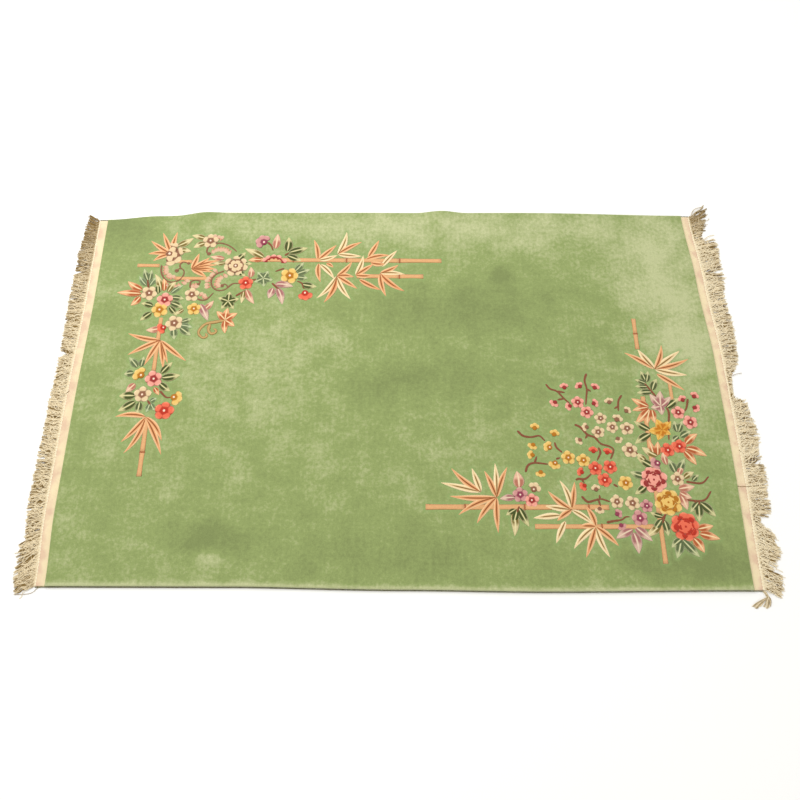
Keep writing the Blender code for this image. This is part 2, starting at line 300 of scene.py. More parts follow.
DEEP, PALE = 0.0, 1.0
BAMBOO_LEAVES = fans_of(
    ((-93, 56.5), (-97.5, 67), (-91.5, 67.5), (-102, 63), (-102.5, 56.5), (-100, 53)),
    ((-84, 49.5), (-81.5, 57), (-77, 55), (-73, 53.5), (-73.5, 51.5, 1.4), (-74, 49.5),
     (-75, 48, 1.4), (-77.5, 45.5)),
    ((-33, 54), (-35, 64), (-25.5, 61.5), (-25, 56.5, 1.8, PALE)),
    ((-29.5, 52.5), (-26.5, 50.5, 1.4)),
    ((-32.5, 52.5), (-31.5, 43.5)),
    ((-32, 52), (-26, 45, 1.8, PALE)),
    ((-25, 57), (-21.5, 68, 1.9, PALE), (-15, 63), (-15, 56, 1.8, PALE)),
    ((-12.5, 55.5), (-8, 64)),
    ((-13.5, 54.5), (-3.5, 56.5)),
    ((-11.5, 53), (-5, 52.5)),
    ((-25, 46.5), (-19, 53.5), (-18, 46), (-16.5, 40.5), (-19, 35.5, 1.9, PALE), (-30, 34, 2, DEEP),
     (-33, 36, 1.8, PALE)),
    ((-17.5, 47), (-14.5, 56.5, 1.8, PALE), (-10, 52.5), (-10, 47)),
    ((-16, 45), (-7, 40, 1.8, DEEP)),
    ((-7, 51), (-0.5, 59, 1.8, PALE)),
    ((-7.5, 48), (0, 52), (2.5, 47.5, 1.8, PALE), (2.5, 39.5, 2, DEEP), (-5, 37)),
    ((-92.5, 17), (-105.5, 20), (-104.5, 10.5), (-97.5, 6), (-90, 4.5), (-88.5, 7, 1.5), (-81.5, 8)),
    ((-94, -15), (-105.5, -15), (-102, -25), (-100.5, -29.5), (-87, -24.5), (-86.5, -30)),
    ((35, -45.5), (31, -35.5), (35, -32.5, 1.8, PALE), (39.5, -34), (18, -45), (21, -52),
     (27.5, -55), (35, -58.5)),
    ((29.5, -43.5), (15, -40, 1.8, PALE), (19, -34.5), (26.5, -34.5, 1.8, PALE)),
    ((61.5, -50), (58, -39, 1.8, PALE), (53.5, -43), (63.5, -39.5), (51.5, -48.5, 1.8, PALE),
     (56, -54)),
    ((57.5, -52), (47.5, -53, 1.8, PALE)),
    ((59, -54), (55, -62, 1.8, PALE)),
    ((61.5, -50), (69, -55.5, 1.6, PALE)),
    ((69.5, -56), (61, -64, 1.8, PALE), (65, -67), (73.5, -67, 1.8, PALE), (77, -63),
     (66.5, -48.5), (63.5, -56)),
    ((98.5, 5.5), (87.5, 12.5), (93, 14, 2.2, PALE), (102.5, 16), (109.5, 13.5, 2, PALE),
     (112.5, 10), (111, 3, 2, PALE)),
    ((99, 3.5), (109, -3.5)),
)

# Broad leaves of five colours
ORANGE, CREAM, ROSE, MAUVE, YELLOW = 0.0, 0.25, 0.5, 0.75, 1.0
BROAD_LEAVES = rows_of(
    Leaf,
    (-102.5, 39.5, -108.8, 43.5, 3, ORANGE), (-102.5, 37.8, -112.5, 38.3, 3, ORANGE),
    (-102.8, 36.5, -106.2, 32.3, 2.8, ORANGE), (-90.8, 60.5, -84.5, 64.3, 3, CREAM),
    (-90, 58.3, -84.8, 57.8, 2.6, CREAM), (-79.5, 64, -85.4, 65.6, 2.6, CREAM),
    (-79.5, 62, -84.3, 59.6, 2.8, CREAM), (-71, 54.5, -77, 55.5, 2.4, ROSE),
    (-70.5, 52.5, -75.5, 52.3, 2.2, CREAM), (-95, 38.8, -98.3, 47, 2.8, CREAM),
    (-93.8, 39, -94.5, 45.5, 2.4, ORANGE), (-92.3, 38.5, -89.3, 44, 2.6, CREAM),
    (-50.7, 59.3, -50, 66.8, 3.2, ROSE), (-54.8, 54.8, -63.2, 59.4, 3.2, CREAM),
    (-55.5, 53.8, -61.5, 53.6, 2.4, ORANGE), (-61, 40, -57.4, 33.3, 2.8, ROSE),
    (-62, 39.5, -62.6, 33.5, 2.2, CREAM), (-49.8, 42.5, -42.3, 41.4, 3.2, MAUVE),
    (-48.8, 41, -46.3, 33, 3, MAUVE), (-50.3, 40.8, -52, 35.8, 3, MAUVE),
    (-59.8, 45.5, -60, 50.6, 2.6, ROSE), (-68.3, 26, -72, 30, 2.8, ORANGE),
    (-68.3, 26, -67.6, 31.6, 2.8, ORANGE), (-68.3, 26, -63.6, 29.2, 2.8, ORANGE),
    (-68.3, 26, -64.3, 23.2, 2.8, ORANGE), (-68.3, 26, -67.8, 20, 2.6, ORANGE),
    (-99.7, -1.5, -102.9, -5, 2.8, ROSE), (-92.4, -3, -90.2, -6.2, 2, ORANGE),
    (-78.8, 33.2, -75, 25.6, 3.2, MAUVE), (-77, 30.5, -73.5, 34.8, 2.4, ROSE),
    (-93, 22.3, -98.8, 21.4, 2.8, ROSE), (-85, 30.8, -88.5, 28.6, 1.8, CREAM),
    (43.2, -42, 42.8, -35.6, 3.8, ROSE), (41.5, -45.5, 36, -46, 2.4, MAUVE),
    (40.8, -50.5, 40.6, -59.5, 2.8, CREAM), (82.5, -57, 76.2, -60.2, 3, MAUVE),
    (82.6, -58, 83.6, -65.6, 3.4, MAUVE), (83.4, -56, 89, -61.2, 3.2, MAUVE),
    (94.3, -10.3, 88, -6.8, 2.8, ORANGE), (94.5, -11, 88.3, -17, 3, ORANGE),
    (94.5, -11.3, 92.6, -17.5, 2.6, ORANGE), (95.3, -11.3, 95.8, -17, 2.6, ORANGE),
    (94, -10.5, 87.8, -11.8, 2.2, ORANGE), (98.8, -10, 99.4, -3.6, 3.2, MAUVE),
    (98.8, -10, 95.2, -4.9, 3, MAUVE), (98.8, -10, 103.2, -5.9, 2.8, MAUVE),
    (98.8, -10, 95, -10.5, 2.6, MAUVE), (98.8, -9.5, 98.8, -13.6, 2.8, MAUVE),
    (98, -19.5, 101.8, -16, 3.2, YELLOW), (98, -19.5, 96.5, -15.2, 3.2, YELLOW),
    (98, -19.5, 92.6, -19.8, 3.2, YELLOW), (98, -19.5, 95.8, -23.6, 3, YELLOW),
    (98, -19.5, 101, -21.4, 2.8, YELLOW), (105.8, -25, 111, -21, 3, ORANGE),
    (105.8, -26.6, 113.2, -29.8, 3.2, ORANGE), (105, -27.6, 108.8, -33.2, 3, ORANGE),
    (105.5, -56.8, 111.3, -55.6, 2.8, ORANGE), (105.8, -58.4, 113, -60.4, 3, ORANGE),
    (103.5, -60, 106.6, -65.2, 3.2, ORANGE), (94.8, -29.8, 89.5, -26.3, 3, CREAM),
    (95, -29.5, 95.8, -24, 2.6, ORANGE), (93.5, -30, 92.5, -23.5, 2.6, ORANGE),
    (90.5, -32, 87, -28.6, 2.4, CREAM), (92.8, -55, 86.8, -59.6, 2.8, CREAM),
    (100.8, -42.2, 106.9, -41.3, 3, ROSE), (101, -43.4, 105.2, -45.6, 2.8, ROSE),
    (101.2, -44, 102.9, -50, 3.2, ROSE), (101.6, -36.8, 103.9, -33.2, 2.4, ROSE),
    (103.3, -38.2, 107.4, -35.8, 2.4, CREAM), (97.8, -33.2, 97.3, -27.6, 2.4, ROSE),
)

OLIVE, GREY = 0.0, 1.0
DARK_LEAVES = rows_of(
    Leaf,
    (-91, 38, -86.3, 41.8, 2.2, GREY), (-90.5, 36.3, -85.3, 35.5, 2.4, 0.3),
    (-90.5, 33.8, -85.3, 31.3, 2.6, 0.2), (-90.8, 32, -87.2, 27.8, 2.2, OLIVE),
    (-97.3, 32.2, -102.2, 33.4, 2.4, OLIVE), (-97.5, 29.3, -101.6, 25.6, 2.6, OLIVE),
    (-96, 37.8, -96.8, 43, 2.2, OLIVE), (-101, 41.5, -104.5, 46, 2, GREY),
    (-100.6, 43.5, -103, 49.5, 2.2, 0.7), (-100.2, 43.5, -99.8, 49, 2, 0.7),
    (-99.8, 41.5, -97.6, 45.5, 2, GREY), (-85.2, 25.2, -81.4, 26.6, 2, 0.6),
    (-85.5, 22.6, -80.9, 19, 2.6, 0.6), (-85.8, 23.8, -80.6, 22.6, 2.2, GREY),
    (-88, 22.2, -87.2, 17.2, 2.6, 0.7), (-99.8, 5.3, -103.6, 9.6, 2.4, 0.7),
    (-98.6, 5.6, -97.9, 10, 2.2, 0.6), (-101, 3, -104.6, 2.4, 2.6, 0.5),
    (-90.6, 2.8, -86.7, 7.6, 2.6, OLIVE), (-90.2, 1, -83, 2.2, 3, OLIVE),
    (-90.6, -1.2, -86.2, -4.6, 2.6, OLIVE), (-99.2, -6.5, -105.2, -6.6, 3.2, OLIVE),
    (-98.6, -8.8, -104.8, -12.8, 3, OLIVE), (-97, -9, -97.6, -14, 2.6, 0.2),
    (-93.2, -8.8, -90.8, -7.4, 1.8, GREY), (-93.2, -9.6, -94.2, -13.2, 2, GREY),
    (-93, -9.4, -91, -12.6, 1.8, GREY), (-45.8, 58.2, -45.4, 65.2, 3.2, OLIVE),
    (-45, 57.6, -37.2, 59.9, 3, OLIVE), (-45.6, 56.2, -39.4, 53.4, 2.8, OLIVE),
    (-42, 48.6, -38.6, 53, 2.4, 0.7), (-41.4, 47.3, -35.8, 49.4, 2.6, 0.7),
    (-41.4, 46, -36.6, 45.4, 2.4, 0.7), (-39.2, 42.6, -32.8, 41.4, 2.8, 0.1),
    (-66, 53.5, -62.6, 57.6, 2.6, OLIVE), (-65, 51.4, -59.6, 52, 2.6, OLIVE),
    (-65.2, 49.2, -61.8, 46, 2.4, OLIVE), (94.4, 0.4, 93, 4.6, 2.2, 0.2),
    (94.6, 0, 95.8, 4.6, 2.2, 0.2), (94.6, -0.8, 90.2, 1, 1.8, 0.2), (95, -2, 90, -1.8, 1.8, 0.2),
    (96.2, -4.2, 90.4, -4.6, 2.4, 0.2), (96.4, -3.4, 98.8, 1.4, 2.6, 0.2),
    (100.8, -10.6, 106.3, -6.6, 2.8, OLIVE), (93.6, -19.8, 87.8, -16, 2.6, OLIVE),
    (93.6, -21, 87.2, -25, 2.8, OLIVE), (103.5, -20.4, 103, -15.8, 2.4, 0.5),
    (103.9, -20.4, 106.2, -15.8, 2.2, 0.5), (104.4, -22.2, 108.8, -20, 2.6, 0.5),
    (103.8, -22, 100.8, -24.4, 2.2, 0.5), (93.2, -34.4, 87.2, -30.4, 2.8, OLIVE),
    (89.2, -37.6, 84, -35.8, 2.6, 0.4), (89.4, -41, 84.8, -44.2, 2.6, OLIVE),
    (100.6, -36.2, 98.6, -30.8, 2.6, 0.6), (101.4, -36.2, 104.8, -30.6, 2.6, 0.6),
    (106.2, -39.2, 109, -36.8, 1.8, 0.4), (107.4, -47, 103.8, -50.8, 2.2, 0.2),
    (107.2, -47.4, 106.4, -54.4, 2.8, 0.1), (107.9, -47.2, 112.8, -52.4, 3, 0.1),
    (93.8, -52.4, 89.4, -50.8, 2, OLIVE), (93.4, -53.2, 89.4, -57.8, 2.4, 0.2),
    (94, -53.6, 94.8, -59.4, 2.6, 0.2), (99.4, -60.2, 95.2, -63.4, 2.4, 0.5),
    (99, -60.6, 96.6, -67.2, 2.8, 0.6), (99.6, -60.6, 104.8, -66.8, 2.8, 0.6),
    (42.2, -49.6, 40, -56.6, 2.4, OLIVE), (42.6, -49, 46, -56.2, 2.6, OLIVE),
    (41.6, -49.8, 38, -52, 2, OLIVE),
)

# Dark five-lobed leaves, seen from above
Star = namedtuple("Star", "x y reach turn shade")
LEAF_STARS = rows_of(
    Star,
    (-67.8, 34.6, 4.4, 90, OLIVE), (-54.6, 45.2, 4, 60, 0.8),
)

# Branches and stems: points along each, in centimetres
TWIG_WIDTH = 0.95
TWIGS = (
    ((-100.2, 40.5), (-100.6, 42.5), (-101.2, 45)),
    ((-94.2, -8.4), (-92.8, -10.2), (-91.4, -11.2), (-89.6, -11.8)),
    ((107.6, -46.4), (107.3, -48.4)),
    ((-46.6, 56.2), (-44.8, 57.6)),
    ((93, -55.5), (94.6, -52)),
    ((-54, 62.5), (-52.5, 61), (-51.5, 58.5)),
    ((-46.5, 50), (-50, 48.5)),
    ((-38, 40.5), (-39, 43), (-41, 44)),
    ((-65, 37), (-61.5, 39.5)),
    ((-51, 43), (-47.5, 39.5)),
    ((-59, 44.5), (-56.5, 44.5)),
    ((-90, -4.5), (-87.5, -7), (-85.5, -7)),
    ((56, -1), (57.5, -3), (60, -4), (62.5, -7), (64.5, -9)),
    ((60, -4), (63, -4.5)),
    ((62.5, -7), (60, -7.5)),
    ((72, 3.5), (71, 0.5), (71.5, -3), (71, -6.5), (70.5, -9.5)),
    ((71.5, -3), (73, -4)),
    ((84.5, -5.5), (83, -8), (82.5, -12)),
    ((83, -10), (81, -11)),
    ((65.5, -17.5), (67.5, -18.5), (70, -21.5), (72.5, -22.5), (74.5, -25), (77.5, -26),
     (79, -27.5), (77.5, -31)),
    ((70, -21.5), (69, -23)),
    ((73.5, -26.5), (74, -28.5), (72.5, -31.5)),
    ((44, -20), (46, -22), (49, -22.5), (52, -22), (54, -24)),
    ((57.5, -24.5), (58, -26.5), (60, -28.5)),
    ((46, -36), (47, -33.5), (49.5, -32.5), (54.5, -33)),
    ((49.5, -32.5), (50.5, -30)),
    ((57.5, -31), (59, -30.5)),
    ((64, -39), (65, -38.5), (67.5, -38.5), (70, -36.5)),
    ((66, -38.5), (67, -40)),
    ((77.5, -40.5), (79, -41.5)),
    ((65.5, -45), (67.5, -47), (70, -46.5), (72.5, -46), (75.5, -47)),
    ((72, -46), (72, -44.5)),
    ((71.5, -46.5), (72, -49)),
    ((73.5, -54.5), (76, -54), (79, -53.5), (80.5, -52.5), (82, -52.5)),
    ((101, -10.5), (101.5, -13), (100.5, -18.5), (100, -23.5)),
    ((109.5, -7), (108.5, -10.5), (107.5, -12)),
    ((104, -39.5), (109.5, -40), (112.5, -37.5)),
    ((101, -46), (109, -46.5), (112.5, -43)),
    ((106, -46.5), (106.5, -48.5)),
    ((95, -51.5), (92.5, -54)),
    ((88, -29.5), (86.5, -28)),
    ((43, -48.5), (41, -53)),
    ((97.5, -6), (94.5, -1.5), (92.5, 1)),
)
FOLD_WIDTH = 1.25
FOLDS = (
    ((-54.3, 53.2), (-53.3, 54.3), (-51.8, 55.1), (-50, 55.2), (-48.4, 54.4), (-47.3, 53.2)),
)
SCROLL_WIDTH = 0.8
SCROLLS = (
    ((-96.2, 51.2), (-96, 48.1), (-94.4, 44.9), (-91.5, 43.2), (-88.3, 44.2), (-86.8, 46.9),
     (-87.1, 48.9), (-88.6, 49.7), (-89.9, 48.5)),
    ((-88.2, 49.3), (-88.8, 51.3), (-87.6, 52.7), (-85.5, 52.1)),
    ((-70.6, 48.6), (-73.8, 47), (-75.4, 44.3), (-74.7, 41.1), (-72.4, 39.5), (-69.8, 39.8),
     (-68.6, 41.2), (-70, 42.5), (-71.1, 41.6)),
    ((-69, 40.4), (-66.7, 42.6), (-64.3, 42.8)),
    ((-77.4, 56.6), (-78.6, 57.8), (-77.8, 60.4), (-73.8, 62), (-69.6, 60.7), (-66.3, 57.9)),
    ((-83.6, 40.7), (-83.5, 43.4), (-81.6, 44.2), (-79.8, 43.5), (-80.4, 42.3)),
    ((-80.2, 35.6), (-78.6, 35), (-76.4, 35.4), (-74, 38.4)),
)
TENDRIL_WIDTH = 1.5
TENDRILS = (
    ((-67.5, 26.2), (-71.7, 25.2), (-75.6, 24.3), (-77.8, 21.8), (-78, 19.8), (-76.3, 18.2),
     (-74.7, 18.9), (-75.4, 20.2)),
    ((-74, 24.2), (-74.4, 21.6), (-73.3, 20), (-71.6, 20.4), (-71.4, 21.6), (-72.5, 22.1)),
)

# Rolled ends of the scrolls: place and radius
Knob = namedtuple("Knob", "x y radius")
SCROLL_KNOBS = rows_of(
    Knob,
    (-89.8, 48.6, 0.9), (-85.4, 52.1, 0.7), (-70.9, 41.7, 0.8), (-77.6, 56.8, 0.9), (-80.5, 42.3, 0.7),
)

# Bamboo canes: their two ends, width, and how far along them the nodes sit
Cane = namedtuple("Cane", "x y end_x end_y width nodes")
CANES = rows_of(
    Cane,
    (-60, 54, 17.5, 54, 2.2, (0.22, 0.5, 0.78)), (-106, 51, -97, 51, 1.8, ()),
    (-90, 53, -84, 53, 1.8, ()), (-17, 46.5, 10, 46.5, 2.2, (0.64,)), (-90, 45, -76, 45, 1.8, ()),
    (-93.5, 27, -93.5, 4, 1.8, (0.45,)), (-93.5, -15, -93.5, -38, 2, (0.6,)),
    (9.5, -49, 75, -49, 2.2, (0.215, 0.54, 0.89)), (48, -56, 90, -56, 2, (0.565,)),
    (93, 27.5, 93, 14, 1.9, (0.5,)), (92.5, -6, 92.5, -69, 1.9, (0.35, 0.72)),
    (103.5, 0, 103.5, -8, 1.6, ()),
)

# The carved pile. Motifs stand a little proud and their edges are sunk into the field.
MOTIF_SINK = 0.4 * MM
ACROSS_PLACES = (-1.0, -0.66, 0.0, 0.66, 1.0)
ACROSS_CROWN = (0.0, 0.86, 1.0, 0.86, 0.0)
CANE_STEP = 1.5 * CM
TWIG_STEP = 0.6 * CM
LOBE_STEP = 1.3 * CM
TWIG_TAPER = 0.35
CANE_WAIST = 0.12
CANE_GAP = 0.25 * CM
NODE_REACH = 0.62  # half the length of a node's ring, as a share of its cane's width
NODE_WIDTH = 0.28 * CM
LOBE_WIDTH = 0.95 * CM
LOBE_RISE = -0.5 * MM
STAR_WIDTH = 1.5 * CM

# The flowers. Hearts, discs and eyes are given as shares of the flower's radius.
HEART_SHARE = 0.1  # places along a petal that lie in its dark ring and in its own colour
DISC_SHARE = 0.62
PETAL_BREADTH = 0.46
OPEN_HEART = 0.50
SIDE_HEART = 0.42
PEONY_DISC = 0.58
PEONY_HEART = 0.11
ROSETTE_HEART = 0.27
OPEN_EYE = 0.19
ROSETTE_EYE = 0.13
EYE_FROM = 2.25  # radius in centimetres above which a blossom has an eye
HEART_RISE = 0.3 * MM
DISC_RISE = 0.4 * MM
EYE_RISE = 0.7 * MM
MIDDLE_RISE = 1.0 * MM
FOLD_RISE = 1.3 * MM
TOP_RISE = 1.4 * MM
FULL_PETALS = 5
OPEN_STEP = 72.0  # degrees from petal to petal, of an open blossom and of one seen from the side
FAN_STEP = 50.0
BLOOM_FULLNESS = 1.08
BAMBOO_FULLNESS = 1.42
BROAD_FULLNESS = 1.12
DARK_FULLNESS = 1.2

# The pile's and the web's humps, and the lean of an overcast stitch
HUMP_SIZE = 60 * MM
PUCKER_SIZE = 25 * MM
PUCKER = 0.7 * MM
STITCH_LEAN = 0.35

# Real sizes in the yarns and the cloth, from which the patterns take their scale
TUFT_PITCH = 3.4 * MM  # a knot's own tuft is 2.5 mm, drawn coarser so that it shows in the render
PLY_PITCH = 2 * MM
WEFT_PITCH = 1.6 * MM
RIB_PITCH = 4.2 * MM
WAVE_SCALE = 0.314  # the wave texture's scale for one band in each metre
BACK_KNOT = 3.0 * MM
STAIN_SIZE = 50 * MM
TINT_SIZE = 20 * MM
CLUMP_SIZE = 14 * MM
DRIFT_SIZE = 110 * MM

# The nap's mottling: slow drift, sweeps along the rug, upright streaks, and clumps of tufts, with
# the size of each along X, Y and Z
Mottle = namedtuple("Mottle", "size weight roughness", defaults=(0.5,))
MOTTLES = rows_of(
    Mottle,
    ((DRIFT_SIZE,) * 3, 0.8),
    ((0.090, 0.034, 1.0), 0.4),
    ((0.014, 0.260, 1.0), 0.3),
    ((CLUMP_SIZE,) * 3, 0.9, 0.6),
)

FLOOR_SIZE = 12.0
SOFTBOX_SIZE = (2.4, 1.6)
SOFTBOX_PLACE = (-1.4, 1.8, 3.2)
SKY_COLOUR = (1.0, 0.99, 0.97, 1.0)
SENSOR_MM = 36.0
CAMERA_RANGE = (0.05, 50.0)

SEED = 11


def linear(code):
    """A colour written as sRGB hex, as the linear red, green and blue that Blender works in."""
    shares = [int(code[i : i + 2], 16) / 255 for i in (1, 3, 5)]
    return tuple(s / 12.92 if s <= 0.04045 else ((s + 0.055) / 1.055) ** 2.4 for s in shares)


def opaque(colour):
    return (*colour[:3], 1.0)


class RugPileSettings(bpy.types.PropertyGroup):
    """The knotted field and its carved sprays."""

    cell: FloatProperty(
        name="Cell", description="Size of the field's mesh cells", default=27 * MM, unit="LENGTH"
    )
    unevenness: FloatProperty(
        name="Unevenness", description="Rise and fall of the sheared pile", default=0.5 * MM,
        unit="LENGTH",
    )
    groove: FloatProperty(
        name="Groove", description="Depth of the carving round a motif", default=0.6 * MM,
        unit="LENGTH",
    )
    groove_reach: FloatProperty(
        name="Groove reach", description="Width of the carved strip", default=13 * MM,
        unit="LENGTH",
    )
    rise: FloatProperty(
        name="Rise", description="How far a motif stands out of the field", default=1.2 * MM,
        unit="LENGTH",
    )
    ground: FloatVectorProperty(
        name="Ground", description="Colour of the field's wool", subtype="COLOR",
        default=linear("#8D9C5F"),
    )
    # Also the colour toward which the painted sheen on the pile's edges is mixed
    ground_light: FloatVectorProperty(
        name="Light nap", description="Field wool where the nap leans away", subtype="COLOR",
        default=linear("#B7BC8C"),
    )
    ground_dark: FloatVectorProperty(
        name="Dark nap", description="Field wool where the nap leans near", subtype="COLOR",
        default=linear("#7C8953"),
    )
    halo: FloatVectorProperty(
        name="Halo", description="Field wool in the carved strip", subtype="COLOR",
        default=linear("#8BA566"),
    )


class RugTrimSettings(bpy.types.PropertyGroup):
    """The selvedges, web bands and fringe."""

    wrap_pitch: FloatProperty(
        name="Wrap pitch", description="Distance between two overcast wraps", default=3.5 * MM,
        unit="LENGTH",
    )
    overcast: FloatVectorProperty(
        name="Overcast", description="Colour of the overcast wool", subtype="COLOR",
        default=linear("#75704A"),
    )
    web: FloatVectorProperty(
        name="Web", description="Colour of the cotton web", subtype="COLOR",
        default=linear("#EBD7B2"),
    )
    yarns: IntProperty(
        name="Yarns", description="Yarns of fringe at each knot", default=8, min=2, max=12
    )
    yarn_diameter: FloatProperty(
        name="Yarn diameter", description="Thickness of a fringe yarn", default=2.0 * MM,
        unit="LENGTH",
    )
    fringe: FloatVectorProperty(
        name="Fringe", description="Colour of the clean cotton yarns", subtype="COLOR",
        default=linear("#EDDCB8"),
    )
    # Colour of soiled yarns, and of the shadow painted on the deep yarns
    fringe_soil_and_shadow: FloatVectorProperty(
        name="Soiled and shadowed fringe", description="Colour of the yarns deep in the fringe",
        subtype="COLOR", default=linear("#8A7040"),
    )


class RugStageSettings(bpy.types.PropertyGroup):
    """The floor, the lights and the camera."""

    camera_place: FloatVectorProperty(
        name="Camera place", description="Where the camera stands", subtype="TRANSLATION",
        default=(-0.0276, -1.1655, 2.6012),
    )
    pitch: FloatProperty(
        name="Pitch", description="How far the camera looks down", subtype="ANGLE",
        default=math.radians(67.19),
    )
    yaw: FloatProperty(
        name="Yaw", description="How far it looks to the right", subtype="ANGLE",
        default=math.radians(1.70),
    )
    roll: FloatProperty(
        name="Roll", description="How far it leans", subtype="ANGLE", default=math.radians(1.77)
    )
    lens: FloatProperty(
        name="Lens", description="Focal length in mm on a 36 mm sensor", default=33.516
    )
    key_power: FloatProperty(
        name="Key light", description="Power of the large light in watts", default=70.0
    )
    sky: FloatProperty(name="Sky", description="Strength of the pale sky", default=0.9)
    floor: FloatVectorProperty(
        name="Floor", description="Colour of the floor", subtype="COLOR",
        default=linear("#FAFAF8"),
    )


def add_node(tree, kind, inputs=None, stops=(), **settings):
    """Adds a node, sets its options, fills or links its inputs, and lays out its colour stops.

    An input that is given as a node is linked to that node's first output.
    """
    node = tree.nodes.new(kind)
    for option, value in settings.items():
        setattr(node, option, value)
    for socket, value in (inputs or {}).items():
        source = value.outputs[0] if isinstance(value, bpy.types.Node) else value
        if isinstance(source, bpy.types.NodeSocket):
            tree.links.new(source, node.inputs[socket])
        else:
            node.inputs[socket].default_value = source
    for place, colour in stops[1:-1]:
        node.color_ramp.elements.new(place).color = opaque(colour)
    for end in (0, -1) if stops else ():
        node.color_ramp.elements[end].position = stops[end][0]
        node.color_ramp.elements[end].color = opaque(stops[end][1])
    return node


def eased(rows, column, along):
    """The column's values at places along the table's rows, easing from each row to the next."""
    places = np.array([row.along for row in rows])
    values = np.array([getattr(row, column) for row in rows])
    after = np.clip(np.searchsorted(places, along, side="right"), 1, len(rows) - 1)
    share = (along - places[after - 1]) / (places[after] - places[after - 1])
    share = np.clip(share, 0.0, 1.0)
    share = share * share * (3.0 - 2.0 * share)
    return values[after - 1] * (1.0 - share) + values[after] * share


def lift(x, y):
    """How high the rug's underside lies off the floor: nothing but in the ripples."""
    height = np.zeros_like(x)
    for ripple in RIPPLES:
        across = np.clip(np.abs(x - ripple.along) / ripple.half_width, 0.0, 1.0)
        fade = 1.0 - np.clip((FIELD_WIDTH / 2 - y) / ripple.reach, 0.0, 1.0)
        height += ripple.height * np.cos(across * math.pi / 2) ** 2 * fade * fade
    return height


def bows(x, y):
    """How far the rug's own shape moves places of the true rectangle along X and along Y."""
    to_right = x / FIELD_LENGTH + 0.5
    to_far = y / FIELD_WIDTH + 0.5
    move_x = eased(RIGHT_EDGE, "out", y) * to_right - eased(LEFT_EDGE, "out", y) * (1 - to_right)
    move_y = eased(FAR_EDGE, "out", x) * to_far - eased(NEAR_EDGE, "out", x) * (1 - to_far)
    return move_x, move_y


def lie(points):
    """Moves points of the true rectangle to where they lie on the floor."""
    x, y, z = points.T
    move_x, move_y = bows(x, y)
    return np.stack([x + move_x, y + move_y, z + lift(x, y)], axis=1)


def underside(x, y):
    """How high the rug's underside lies at places on the floor."""
    move_x, move_y = bows(x, y)
    move_x, move_y = bows(x - move_x, y - move_y)
    return lift(x - move_x, y - move_y)


def points_of(mesh):
    places = np.empty(len(mesh.vertices) * 3)
    mesh.vertices.foreach_get("co", places)
    return places.reshape(-1, 3)


def move_points(mesh, places):
    mesh.vertices.foreach_set("co", np.asarray(places, dtype=float).ravel())
    mesh.update()


def collection_of_rug():
    name = "Rug"
    if name not in bpy.data.collections:
        bpy.context.scene.collection.children.link(bpy.data.collections.new(name))
    return bpy.data.collections[name]


def add_piece(name, mesh, node=None):
    """Links a finished mesh as a piece of the rug, on the root body, and hides the CAD part it
    replaces.
    """
    piece = bpy.data.objects.new(name, mesh)
    mesh.name = name
    collection_of_rug().objects.link(piece)
    mesh.shade_smooth()
    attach(piece, "root")
    if node:
        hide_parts(node)
    return piece


def new_tree(name, **inputs):
    """A geometry node tree with named inputs, and the sockets that give their values."""
    tree = bpy.data.node_groups.new(name, "GeometryNodeTree")
    for label, kind in {"Geometry": "Geometry", **inputs}.items():
        tree.interface.new_socket(label, in_out="INPUT", socket_type=f"NodeSocket{kind}")
    tree.interface.new_socket("Geometry", in_out="OUTPUT", socket_type="NodeSocketGeometry")
    return tree, tree.nodes.new("NodeGroupInput").outputs


def end_tree(tree, geometry, yarn):
    """Makes all that a tree lays real, gives it its yarn's material, and returns the tree."""
    real = add_node(tree, "GeometryNodeRealizeInstances", {"Geometry": geometry})
    dyed = add_node(tree, "GeometryNodeSetMaterial", {"Geometry": real, "Material": yarn})
    add_node(tree, "NodeGroupOutput", {"Geometry": dyed})
    return tree


def grown(mesh, tree, values):
    """The plain mesh that a node tree grows on a base mesh."""
    base = bpy.data.objects.new("base", mesh)
    collection_of_rug().objects.link(base)
    modifier = base.modifiers.new(tree.name, "NODES")
    modifier.node_group = tree
    for item in tree.interface.items_tree:
        if item.in_out == "INPUT" and item.name in values:
            modifier[item.identifier] = values[item.name]
    graph = bpy.context.evaluated_depsgraph_get()
    result = bpy.data.meshes.new_from_object(
        base.evaluated_get(graph), preserve_all_data_layers=True, depsgraph=graph
    )
    bpy.data.objects.remove(base)
    return result


def new_material(name, weave, finish):
    """A material with the colour and relief of the weave function's nodes.

    The finish is set on the shader's own sockets.
    """
    material = bpy.data.materials.new(name)
    material.use_nodes = True
    tree = material.node_tree
    shader = tree.nodes["Principled BSDF"]
    colour, relief = weave(tree, add_node(tree, "ShaderNodeTexCoord").outputs["Object"])
    tree.links.new(colour.outputs[0], shader.inputs["Base Color"])
    tree.links.new(relief.outputs[0], shader.inputs["Normal"])
    for socket, value in finish.items():
        shader.inputs[socket].default_value = value
    return material


def speckled(name, paint, pitch, detail, darkest, strength, depth, finish):
    """A yarn's material: the paint function's colour, speckled and roughened by its fibres."""

    def spin(tree, place):
        fibres = add_node(
            tree, "ShaderNodeTexNoise", {"Vector": place, "Scale": 1 / pitch, "Detail": detail}
        )
        speck = add_node(
            tree, "ShaderNodeMapRange", {"Value": fibres, 1: 0.3, 2: 0.7, 3: darkest, 4: 1.08}
        )
        yarn = add_node(
            tree, "ShaderNodeHueSaturation", {"Color": paint(tree, place), "Value": speck}
        )
        relief = add_node(
            tree, "ShaderNodeBump", {"Height": fibres, "Strength": strength, "Distance": depth}
        )
        return yarn, relief

    return new_material(name, spin, finish)


